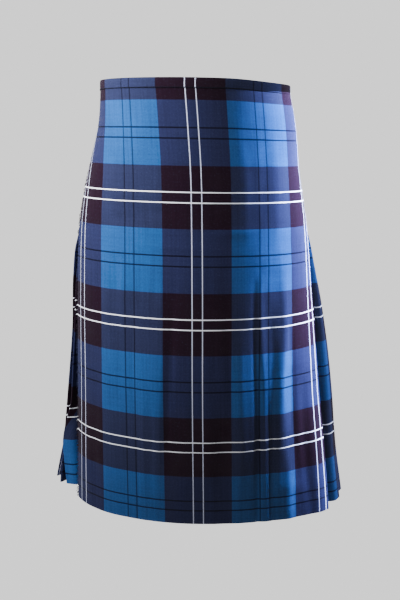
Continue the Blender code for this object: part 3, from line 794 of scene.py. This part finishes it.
def makeUnderApron():
    rows, marks, downs = [], [], []
    lead = np.linspace(0, 1, 12)[:-1]
    for below in np.linspace(kilt["bandDeep"] - 0.004, 0.607, 100):
        start, along, inside = underRun(below, 78)
        across = along - at(apronShape, "centre", below)
        ripple = 0.0006 * np.sin(70 * along + 5 * below) * eased((below - 0.1) / 0.3)
        path = apronSection(below).point(along, broadFolds(across, below) - inside + ripple)
        line = np.concatenate([start + (path[0] - start) * lead[:, None], path])
        before = across[0] - np.linalg.norm(path[0] - start) * (1 - lead)
        rows.append(np.column_stack([line, levelOf(line[:, 0], below)]))
        marks.append(np.concatenate([before, across]) + 0.085)
        downs.append(np.full(len(line), below))
    grid, u, v = np.array(rows), np.array(marks), np.array(downs)
    return clothShell("underApron", grid, u, u, v, apronLook["thick"], apronCloth, ["under_apron"])


underApron = makeUnderApron()
print("under apron made")


# Knife pleats, pressed along a thread, so each fold keeps its place on the check
pleatLook = {
    "thick": 0.00085,
    "rows": 96,
    "faceRound": 0.006,
    "firstFold": 0.2300,
    "foldStep": 0.0196,
    "lastShift": 0.0225,  # the last fold lies further along the check where it swings open
    "sway": 0.00024,
    "firstBulge": 0.0095,  # how far the first pleat's face stands out before its fold
    "lastFlare": (-0.0125, 0.0000),  # how far the last fold swings out at the hem
    "lastFace": (0.0175, -0.0035),  # from that fold, where its face bends back
}


def pushedIn(below, i):
    shares = {kilt["pleats"] - 2: 1.0, kilt["pleats"] - 3: 0.3}
    return shares.get(i, 0.0) * at(pleatShape, "nextIn", below)


def pleatFolds(below):
    section = pleatSection(below)
    edgeY = apronSection(below).on(foldedEdge(below))[1]
    start = section.whereY(edgeY, 1)
    count = kilt["pleats"]
    pitch = (section.whereY(at(pleatShape, "nextY", below), -1) - start) / (count - 1)
    loose = eased((below - 0.2) / 0.3)
    places = []
    for i in range(count):
        sway = 0.16 * math.sin(2.4 * i + 0.6) * loose if 0 < i < count - 2 else 0.0
        deep = at(pleatShape, "deep", below) * (1 + 0.14 * math.sin(1.7 * i + 1.1) * loose)
        places.append((start + (i + 1 + sway) * pitch, deep))
    return section, start, places


def flared(below):
    return eased((below - 0.47) / 0.08)


def pleatCorners(below, first, last):
    # corners of the pleats' plan line, with how round each is, and for each fold the corner where it starts
    section, start, places = pleatFolds(below)
    tuck, fold = at(pleatShape, "tuck", below), kilt["foldRound"]
    count = kilt["pleats"]
    line, reach, tips = [], [], []

    def add(point, near):
        line.append(np.asarray(point, float))
        reach.append(near)

    def on(along, out):
        return section.point(np.array(along), np.array(out))

    if first == 0:
        apron = apronSection(below)
        turned, inner = turnedIn(below), foldedEdge(below) - kilt["returnDeep"]
        deeper = turned + 2 * fold + kilt["strapRoom"]
        add(apron.point(np.array(inner - 0.0003), np.array(-turned)), 0)
        add(apron.point(np.array(inner - 0.0045), np.array(-turned)), 0.002)
        add(apron.point(np.array(inner - 0.0045), np.array(-deeper)), 0.002)
        add(apron.point(np.array(foldedEdge(below) - 0.004), np.array(-deeper - 0.0012)), 0.008)
        tip = on(places[0][0], -kilt["foldSet"])
        face = tip - line[-1]
        bulge = pleatLook["firstBulge"] * eased((below - 0.14) / 0.10)
        add(line[-1] + 0.56 * face + bulge * np.array([face[1], -face[0]]) / np.hypot(*face), 0.007)
    for i in range(first, last):
        along, deep = places[i]
        if i > 0:
            root = places[i - 1][0] - tuck
            rootDeep = places[i - 1][1] + pushedIn(below, i - 1)
            add(on(root, -rootDeep - fold), 0.0008 if i > first else 0)
            if i < count - 1:
                bend = kilt["faceBend"]
                inner = (1 - bend) * rootDeep + bend * pushedIn(below, i)
                inner -= kilt["faceLift"] * places[i - 1][1]
                add(on(root + bend * (along - root), -inner - kilt["foldSet"]), pleatLook["faceRound"])
        tips.append((i, len(line)))
        if i == count - 1:
            flare = flared(below)
            tip = np.array([at(pleatShape, "lastX", below), at(pleatShape, "lastY", below)])
            tip = tip + flare * np.array(pleatLook["lastFlare"])
            begun = np.array([at(underShape, "startX", below), at(underShape, "startY", below)])
            begun[0] -= 0.00186
            back = begun - tip
            back /= np.hypot(*back)
            add(tip, 0.0009)
            inner = tip + 2 * fold * np.array([back[1], -back[0]])
            add(inner, 0.0009)
            face = (1 - flare) * (inner + begun) / 2 + flare * (tip + np.array(pleatLook["lastFace"]))
            add(face, pleatLook["faceRound"])
            add(begun, 0)
            continue
        inset = kilt["foldSet"] + pushedIn(below, i)
        add(on(along, -inset), 0.0009)
        add(on(along, -inset - 2 * fold), 0.0009)
        add(on(along - tuck, -deep - pushedIn(below, i) + fold), 0.0008 if i < last - 1 else 0)
    return line, reach, tips


def makePleats(name, first, last, node):
    rows, prevs, nexts, downs = [], [], [], []
    levels = np.linspace(kilt["bandDeep"] - 0.004, kilt["pleatDrop"], pleatLook["rows"])
    for below in levels:
        corners, reach, tips = pleatCorners(below, first, last)
        steps = [5 if 0 < near < 0.0015 else 4 for near in reach]
        line = rounded(corners, reach, steps)
        starts = [0] + [1 + sum(steps[1:k]) for k in range(1, len(corners) - 1)]
        counts = [0] * (len(line) - 1)
        for k, start in enumerate(starts):
            counts[start + steps[k] - 1 if k else 0] = 2
        fine = spread(line, counts)
        placeOf = np.concatenate([[0], np.cumsum(np.array(counts) + 1)])
        lengths = lengthsOf(fine)
        folds = [placeOf[starts[corner] + steps[corner] - 1] for i, corner in tips]
        roots = [corner + 2 for i, corner in tips[:-1]]
        borders = [0] + [placeOf[starts[root] + steps[root] // 2] for root in roots] + [len(fine) - 1]
        uPrev, uNext = np.zeros(len(fine)), np.zeros(len(fine))
        for n, (i, corner) in enumerate(tips):
            place = pleatLook["firstFold"] - i * pleatLook["foldStep"]
            place -= pleatLook["lastShift"] * flared(below) if i == kilt["pleats"] - 1 else 0
            part = slice(borders[n], borders[n + 1] + 1)
            marks = place + lengths[folds[n]] - lengths[part]
            uNext[part] = marks
            uPrev[borders[n] + 1:borders[n + 1] + 1] = marks[1:]
            if n == 0:
                uPrev[0] = marks[0]
        drift = np.sin(19 * below + 0.9 * np.arange(len(fine)) / 6) * eased((below - 0.1) / 0.4)
        fine = fine + sideSteps(fine) * pleatLook["sway"] * drift[:, None]
        rows.append(np.column_stack([fine, levelOf(fine[:, 0], below)]))
        prevs.append(uPrev)
        nexts.append(uNext)
        downs.append(np.full(len(fine), below + 0.0016))
    grid, before, after, v = (np.array(part) for part in (rows, prevs, nexts, downs))
    return clothShell(name, grid, before, after, v, pleatLook["thick"], pleatCloth, [node])


half = kilt["pleats"] // 2
pleatsLeft = makePleats("pleatsLeft", 0, half, "pleats_left")
pleatsRight = makePleats("pleatsRight", half, kilt["pleats"], "pleats_right")
print("pleats made")


# Waistband: a narrow strip of the check folded over every layer's top edge
bandLook = {"thick": 0.0007, "outerBelow": 0.007, "innerBelow": 0.014, "proud": 0.0004}


def bandPath():
    # the waistband's way round: its points, how thick the layers in it are, and the places on the check
    high, low = bandLook["outerBelow"], bandLook["innerBelow"]
    section, start, places = pleatFolds(low)
    stack = places[0][1] + kilt["foldRound"] + 0.0010
    front = np.linspace(freeEdge(high) - 0.003, foldedEdge(high), 110)
    sides = np.linspace(start + 0.010, places[kilt["pleats"] - 2][0] - 0.006, 130)
    begun, along, inside = underRun(low, 60)
    parts = (
        (apronSection(high).point(front, np.zeros(1)), 0.0020),
        (section.point(sides, np.array(0.0004 - stack / 2)), stack),
        (begun[None] * 1.004, 0.0036),
        (apronSection(low).point(along, -inside), 0.0018),
    )
    points = np.concatenate([part for part, thick in parts])
    thicks = np.concatenate([np.full(len(part), thick) for part, thick in parts])
    soft = np.convolve(np.pad(thicks, 4, mode="edge"), np.ones(9) / 9, mode="valid")
    lengths = lengthsOf(points)
    marks = front - at(apronShape, "centre", high)
    marks = np.concatenate([marks, marks[-1] + lengths[len(front):] - lengths[len(front) - 1]])
    return points, np.maximum(soft, np.minimum(thicks, 0.0020)), marks


def makeWaistband():
    points, thicks, marks = bandPath()
    side, deep = sideSteps(points), kilt["bandDeep"]
    outside = [(1.0, down) for down in np.linspace(deep, 0.0022, 6)]
    turns = np.radians(np.linspace(25, 155, 6))
    over = [(math.cos(turn), 0.0013 - 0.0013 * math.sin(turn)) for turn in turns]
    inside = [(-1.0, down) for share, down in outside[::-1]]
    rows, downs = [], []
    for share, down in outside + over + inside:
        puff = bandLook["proud"] * math.sin(math.pi * min(1, down / deep)) * share
        plan = points + side * (thicks / 2 * share + puff)[:, None]
        rows.append(np.column_stack([plan, levelOf(plan[:, 0], down)]))
        downs.append(np.full(len(points), down))
    grid = np.array(rows)
    inner = grid - gridNormals(grid) * bandLook["thick"]
    marked = np.tile(marks, (len(grid), 1))
    verts, faces, uvs = shellParts(grid, inner, marked, marked, np.array(downs))
    piece = newPiece("waistBand", verts, faces, uvs, bandCloth, "check_cloth", ["waistband"])
    seam = grid[0] * 0.7 + grid[1] * 0.3
    seam[:, :2] += side * 0.0002
    return piece, seam


waistBand, bandSeam = makeWaistband()
print("waistband made")


# Fringe: weft yarns left loose along the outer apron's free edge
fringeLook = {"yarns": 430, "long": 0.0125, "fall": 0.0042, "thick": 0.00052, "sides": 5, "steps": 7}


def tube(parts, points, radii, sides, mark):
    # a round tapered yarn through the points, closed at both ends
    points = np.asarray(points, float)
    ahead = np.gradient(points, axis=0)
    ahead /= np.linalg.norm(ahead, axis=1, keepdims=True)
    turns = 2 * math.pi * np.arange(sides)[:, None] / sides
    rings = []
    for point, way, radius in zip(points, ahead, radii):
        side = np.cross(way, (0.0, 0.0, 1.0))
        if np.linalg.norm(side) < 1e-4:
            side = np.cross(way, (1.0, 0.0, 0.0))
        side /= np.linalg.norm(side)
        rings.append(point + radius * (np.cos(turns) * side + np.sin(turns) * np.cross(side, way)))
    addRings(parts, rings, [(mark[0] + length, mark[1]) for length in lengthsOf(points)])


def makeFringe():
    look, rng = fringeLook, random.Random(7)
    parts = [], [], []
    for below in np.linspace(0.0155, kilt["drop"] - 0.0015, look["yarns"]):
        below = below + rng.uniform(-0.0004, 0.0004)
        section = apronSection(below)
        # level with the hip strap the yarns are shorter and stand out a little
        beside = eased((below - 0.055) / 0.05) * eased((0.25 - below) / 0.05)
        long = look["long"] * rng.uniform(0.72, 1.08) * (1 - 0.55 * beside)
        fall = look["fall"] * rng.uniform(0.5, 1.5)
        sway = rng.uniform(-0.0008, 0.0016) + 0.0012 * beside
        wave = rng.uniform(-0.0005, 0.0005)
        path = []
        for t in np.linspace(0, 1, look["steps"]):
            out = sway * eased(t) + wave * math.sin(7 * t)
            x, y = section.point(freeEdge(below) - 0.0026 - long * t, np.array(out))
            path.append((x, y, levelOf(x, below) - fall * t * t + 0.5 * wave * math.sin(5 * t)))
        radii = look["thick"] * (1 - 0.45 * np.linspace(0, 1, look["steps"]))
        tube(parts, path, radii, look["sides"], (rng.uniform(0, 0.02), below))
    return newPiece("apronFringe", *parts, fringeYarn, "fringe_yarn", ["apron_fringe"], sharp=0)


apronFringe = makeFringe()
print("fringe made")


# Stitches: long ones that hold the waistband down, drawn thick, nearly black and almost unbroken so that
# they are also painted shadow under the band's lower edge, short ones along the leather
bandStitchWithShadow = {"long": 0.0028, "step": 0.0031, "thick": 0.00068, "sides": 5}
strapStitch = {"long": 0.0021, "step": 0.0030, "thick": 0.00022, "sides": 5}


def stitchLine(name, line, look):
    lengths, parts = lengthsOf(line), ([], [], [])
    radii = look["thick"] * np.array([0.55, 1.0, 1.0, 0.55])
    for begun in np.arange(0.002, lengths[-1] - look["long"] - 0.002, look["step"]):
        places = begun + np.linspace(0, look["long"], 4)
        path = np.stack([np.interp(places, lengths, line[:, k]) for k in range(3)], axis=1)
        tube(parts, path, radii, look["sides"], (begun, 0.0))
    return newPiece(name, *parts, sewingThread, sharp=0)


# the waistband's stitches are real stitching and also painted shadow: a near-black line along the band's
# lower edge
bandStitches = stitchLine("bandStitches", bandSeam, bandStitchWithShadow)
print("waistband stitches made")


# Straps and buckles: each place in metres, "back" along the strap from the pleats' front edge
strapLook = {
    "off": 0.0007,
    "half": 0.014,
    "thick": 0.0020,
    "past": 0.043,  # how far its end reaches beyond the bar
    "holes": (-0.030, 0.0115, 0.030),  # from the bar
    "holeRound": 0.0016,
    "stitchIn": 0.0024,
    "point": 0.014,
}
chapeLook = {"half": 0.0145, "thick": 0.0012, "long": 0.034, "gap": 0.0003}
buckleLook = {
    "round": 0.0011,
    "out": 0.0037,
    "apart": 0.018,  # between its two bars
    "half": 0.0175,
    "corner": 0.004,
    "rollRound": 0.0022,  # leather and prong round the bar
}
prongLook = {"thick": 0.0012, "half": 0.0017}
keeperLook = {"thick": 0.0011, "half": 0.0155, "out": 0.0067, "from": 0.017, "to": 0.024}
sites = named(
    ("name", "side", "below", "edgeY", "bar", "under", "sunk"),
    (
        ("WaistRight", -1, 0.055, -0.002, 0.052, 0.014, 0.0006),
        ("HipRight", -1, 0.150, -0.031, 0.070, 0.010, 0.0055),
        ("WaistLeft", 1, 0.055, 0.018, 0.052, 0.014, 0.0),
    ),
)
for site in sites:
    site["section"] = pleatSection(site["below"])
    wide = "left" if site["side"] < 0 else "right"
    lower, upper = (at(pleatShape, wide, site["below"] + step * strapLook["half"]) for step in (1, -1))
    site["lean"] = (lower - upper) / (2 * strapLook["half"])
    site["anchor"] = site["section"].whereY(site["edgeY"], site["side"])


def strapPoint(site, back, up, out):
    along = np.array(site["anchor"] + site["side"] * back)
    x, y = site["section"].point(along, np.array(out + strapLook["off"] - site["lean"] * up), 0.006)
    return np.array((x, y, kilt["rise"] - site["below"] + up))


def fitting(kind, site, parts, material, slotName, sharp=40):
    # a strap, chape, buckle, prong or keeper, which stands for the node of the same name
    words = "".join("_" + c.lower() if c.isupper() else c for c in site["name"])
    return newPiece(kind + site["name"], *parts, material, slotName, [kind + words], sharp=sharp)


def strip(site, path, thick, halfWide, tip=0.0, square=7.0):
    # a strip with eased edges that follows path, a line of (back, out), and may end in a point
    lengths, ring, rings = lengthsOf(path), bluntRing(20, 2 / square, 2 / 2.6), []
    for (back, out), step, length in zip(path, sideSteps(path) * thick / 2, lengths):
        left = lengths[-1] - length
        narrow = 1.0 if tip == 0 or left > tip else max(0.05, 1 - (1 - left / tip) ** 2.2)
        width = halfWide * narrow
        turned = [(back + step[0] * over, across * width, out + step[1] * over) for across, over in ring]
        rings.append([strapPoint(site, *place) for place in turned])
    parts = [], [], []
    addRings(parts, rings, [(length, 0.0) for length in lengths], site["side"] > 0)
    return parts


def roundBar(site, first, last):
    # the part of a path that turns round the buckle's bar, between two angles
    reach = buckleLook["rollRound"]
    angles = np.radians(np.linspace(first, last, 14))
    return [(site["bar"] + reach * math.cos(a), buckleLook["out"] + reach * math.sin(a)) for a in angles]


def smoothPath(points, reach=0.004, steps=5):
    return rounded(points, [reach] * len(points), [steps] * len(points))


def strapPath(site):
    thick, layer = strapLook["thick"], chapeLook["thick"]
    bar, sunk, under = site["bar"], site["sunk"], site["under"]
    front, lying = bar - buckleLook["apart"], 0.0003 + thick / 2
    overRoll = buckleLook["out"] + buckleLook["rollRound"] + layer / 2 + thick / 2 + 0.0005
    overChape = 2 * layer + 0.0009 + thick / 2 + 0.0002
    path = [(-under, lying - sunk), (-under / 2, lying - sunk), (0.002, lying - sunk), (0.010, lying - sunk)]
    path += [(0.018, lying - sunk * 0.9), (0.027, lying - sunk * 0.5), (front, lying - sunk * 0.1)]
    path += [(front + 0.006, lying + 0.0016), (front + 0.012, overRoll - 0.0022), (bar - 0.002, overRoll)]
    path += [(bar + 0.003, overRoll - 0.0002), (bar + 0.009, overChape + 0.0008), (bar + 0.015, overChape)]
    path += [(back, overChape) for back in np.linspace(bar + 0.022, bar + strapLook["past"], 9)]
    return smoothPath(path)


def punch(piece, site, path):
    # round holes through the strap, as a bit at right angles to it
    reach, bitParts = strapLook["holeRound"], ([], [], [])
    turns = np.arange(20) * 2 * math.pi / 20
    for step in strapLook["holes"]:
        back = site["bar"] + step
        out = float(np.interp(back, path[:, 0], path[:, 1]))
        ends = []
        for depth in (-0.003, 0.003):
            places = [(back + reach * math.cos(t), reach * math.sin(t), out + depth) for t in turns]
            ends.append([strapPoint(site, *place) for place in places])
        addRings(bitParts, ends, [(0.0, 0.0)] * 2, site["side"] > 0)
    mesh = bpy.data.meshes.new("bits")
    mesh.from_pydata([tuple(v) for v in bitParts[0]], [], bitParts[1])
    bits = bpy.data.objects.new("bits", mesh)
    bpy.context.scene.collection.objects.link(bits)
    cut = piece.modifiers.new("holes", "BOOLEAN")
    cut.operation, cut.solver, cut.object = "DIFFERENCE", "EXACT", bits
    seen = bpy.context.evaluated_depsgraph_get()
    whole = bpy.data.meshes.new_from_object(piece.evaluated_get(seen))
    piece.modifiers.remove(cut)
    piece.data = whole
    bpy.data.objects.remove(bits)


def makeStrap(site):
    look, path = strapLook, strapPath(site)
    parts = strip(site, path, look["thick"], look["half"], look["point"])
    punch(fitting("strap", site, parts, strapLeather, "strap_leather"), site, path)
    seen = [place for place in path if place[0] < site["bar"] - buckleLook["apart"]]
    for name, side in (("Upper", 1), ("Lower", -1)):
        up = side * (look["half"] - look["stitchIn"])
        line = [strapPoint(site, back, up, out + look["thick"] / 2) for back, out in seen]
        stitchLine("stitches" + site["name"] + name, np.array(line), strapStitch)


def makeChape(site):
    look, bar = chapeLook, site["bar"]
    lower = look["gap"] + look["thick"] / 2
    upper = lower + look["thick"] + look["gap"]
    path = [(bar + back, lower) for back in (look["long"], 0.022, 0.012, 0.005)] + roundBar(site, -60, -270)
    path += [(bar + 0.0026, upper + 0.0018), (bar + 0.006, upper + 0.0002)]
    path += [(bar + back, upper) for back in (0.012, 0.022, look["long"])]
    parts = strip(site, smoothPath(path, 0.0015, 3), look["thick"], look["half"])
    fitting("chape", site, parts, chapeLeather, "strap_leather")


def makeProng(site):
    look, front = prongLook, site["bar"] - buckleLook["apart"]
    rest = buckleLook["out"] + buckleLook["round"] + look["thick"] / 2 + 0.0003
    path = roundBar(site, -150, 90) + [(site["bar"] - 0.006, rest + 0.0004)]
    path += [(front + 0.002, rest), (front - 0.002, rest - 0.0002)]
    parts = strip(site, smoothPath(path, 0.002, 4), look["thick"], look["half"], square=2.2)
    fitting("prong", site, parts, prongMetal, "buckle_metal")


def makeKeeper(site):
    look = keeperLook
    half, high, low = look["half"], look["out"], 0.0006
    corners = (-half, low), (-half, high), (half, high), (half, low)
    path = rounded(corners, [0, 0.0022, 0.0022, 0], [0, 7, 7, 0])
    counts = [0] * (len(path) - 1)
    counts[0], counts[7], counts[-1] = 2, 8, 2
    path = spread(path, counts)
    middle, reach = site["bar"] + (look["from"] + look["to"]) / 2, (look["to"] - look["from"]) / 2
    ring, rings = bluntRing(16, 0.35, 0.8), []
    for (up, out), step in zip(path, sideSteps(path) * look["thick"] / 2):
        turned = [(middle + side * reach, up + step[0] * over, out + step[1] * over) for side, over in ring]
        rings.append([strapPoint(site, *place) for place in turned])
    parts = [], [], []
    addRings(parts, rings, [(0.0, 0.0)] * len(rings), site["side"] < 0)
    fitting("keeper", site, parts, strapLeather, "strap_leather")


def makeBuckle(site):
    # a rounded oblong frame of round wire
    look, bar = buckleLook, site["bar"]
    front, thick, rings = bar - look["apart"], look["round"], []
    turns = np.arange(16) * 2 * math.pi / 16
    wire = [(look["corner"] + thick * math.cos(t), look["out"] + thick * math.sin(t)) for t in turns]
    for back, up, begun in ((bar, 1, 0), (front, 1, 90), (front, -1, 180), (bar, -1, 270)):
        innerBack = back - math.copysign(look["corner"], back - (bar + front) / 2)
        innerUp = up * (look["half"] - look["corner"])
        for angle in np.radians(np.linspace(begun, begun + 90, 10)):
            c, s = math.cos(angle), math.sin(angle)
            places = [(innerBack + reach * c, innerUp + reach * s, out) for reach, out in wire]
            rings.append([strapPoint(site, *place) for place in places])
    parts = [], [], []
    addRings(parts, rings, [(0.0, 0.0)] * len(rings), site["side"] > 0, looped=True)
    fitting("buckle", site, parts, buckleMetal, "buckle_metal", sharp=0)


for site in sites:
    makeStrap(site)
    makeChape(site)
    makeProng(site)
    makeKeeper(site)
    makeBuckle(site)
print("straps and buckles made")


# Camera, floor and light
photo = {
    "focal": 891.68,
    "tall": 600,
    "place": (0.1831, -1.3029, -0.0256),
    "ahead": (-0.13261, 0.99117),
    "tilt": 0.1779,
    "roll": -0.017,
}


def makeCamera():
    tilt, roll = photo["tilt"], photo["roll"]
    level = Vector((*photo["ahead"], 0)).normalized()
    right0 = level.cross(Vector((0, 0, 1)))
    ahead = level * math.cos(tilt) - Vector((0, 0, 1)) * math.sin(tilt)
    up0 = level * math.sin(tilt) + Vector((0, 0, 1)) * math.cos(tilt)
    right = right0 * math.cos(roll) - up0 * math.sin(roll)
    up = right0 * math.sin(roll) + up0 * math.cos(roll)
    data = bpy.data.cameras.new("camera")
    data.sensor_width = 36
    data.sensor_fit = "AUTO"
    data.lens = photo["focal"] * data.sensor_width / photo["tall"]
    data.clip_start = 0.01
    camera = bpy.data.objects.new("camera", data)
    turn = Matrix((right, up, -ahead)).transposed().to_4x4()
    camera.matrix_world = Matrix.Translation(photo["place"]) @ turn
    bpy.context.scene.collection.objects.link(camera)
    bpy.context.scene.camera = camera


makeCamera()


def gathered(name, pieces):
    made = bpy.data.collections.new(name)
    for piece in pieces:
        made.objects.link(piece)
    return made


def aimedLight(name, place, target, size, power, color, lit=None):
    data = bpy.data.lights.new(name, "AREA")
    data.shape = "RECTANGLE"
    data.size, data.size_y = size
    data.energy = power
    data.color = color
    lamp = bpy.data.objects.new(name, data)
    way = Vector(target) - Vector(place)
    lamp.matrix_world = Matrix.Translation(place) @ way.to_track_quat("-Z", "Y").to_matrix().to_4x4()
    lamp.visible_camera = False
    lamp.visible_glossy = False
    if lit:
        lamp.light_linking.receiver_collection = lit
    bpy.context.scene.collection.objects.link(lamp)


studio = {"floor": -1.02, "wall": 3.2, "tone": (0.004, 0.004, 0.004), "glow": 1.26, "world": 0.17}


def makeStudio():
    # a pale floor that curves up behind into a wall, all round, evenly bright in itself as a lit screen is
    verts, faces = [], []
    profile = [(0.0, 0.0)]
    for angle in np.radians(np.linspace(0, 90, 12)):
        profile.append((studio["wall"] + 1.2 * math.sin(angle), 1.2 - 1.2 * math.cos(angle)))
    profile += [(studio["wall"] + 1.2, 4.0), (studio["wall"] - 0.4, 5.6), (0.0, 6.0)]
    around = 64
    for radius, high in profile:
        for k in range(around):
            turn = 2 * math.pi * k / around
            verts.append((radius * math.cos(turn), radius * math.sin(turn), studio["floor"] + high))
    for j in range(len(profile) - 1):
        for k in range(around):
            a, b = j * around + k, j * around + (k + 1) % around
            faces.append((a, b, b + around, a + around))
    mesh = bpy.data.meshes.new("floor")
    mesh.from_pydata(verts, [], faces)
    mesh.shade_smooth()
    made, tree, shader = newMaterial("paleFloor")
    tone, noise = studio["tone"], addNode(tree, "ShaderNodeTexNoise", {"Scale": 3.0, "Detail": 2.0})
    spots = softStep(tree, noise.outputs[0], 0.3, 0.7)
    cloudy = mixColors(tree, spots, tone, tuple(0.985 * c for c in tone))
    settings = {
        "Base Color": cloudy,
        "Roughness": 0.9,
        "Specular IOR Level": 0.0,
        "Emission Color": (1, 1, 1),
        "Emission Strength": studio["glow"],
    }
    feedAll(tree, shader, settings)
    mesh.materials.append(made)
    floor = bpy.data.objects.new("floor", mesh)
    bpy.context.scene.collection.objects.link(floor)
    floor.visible_diffuse = False
    world = bpy.data.worlds.new("studio")
    world.use_nodes = True
    sky = world.node_tree.nodes["Background"]
    feedAll(world.node_tree, sky, {"Color": (1, 1, 1), "Strength": studio["world"]})
    bpy.context.scene.world = world


makeStudio()
# every piece but the aprons and the fringe gets a weaker side light, which leaves the pleats dark
frontPieces = [outerApron, apronFringe, underApron]
sidePieces = [piece for piece in bpy.data.objects if "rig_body" in piece and piece not in frontPieces]
aimedLight("leftKey", (-0.393, -0.300, 0.156), (0, 0, -0.25), (0.5, 0.5), 13.7, (0.97, 0.99, 1.04))
sideLight = {
    "place": (0.694, 0.404, 0.101),
    "target": (0, 0, -0.25),
    "size": (0.5, 0.5),
    "color": (0.80, 0.94, 1.45),
}
aimedLight("rightKey", **sideLight, power=222, lit=gathered("frontPieces", frontPieces))
aimedLight("rightSoft", **sideLight, power=24, lit=gathered("sidePieces", sidePieces))
aimedLight("backFill", (-0.9, 1.3, 0.6), (0, 0, -0.25), (1.0, 1.0), 36, (1, 1, 1))
print("camera, floor and lights set")
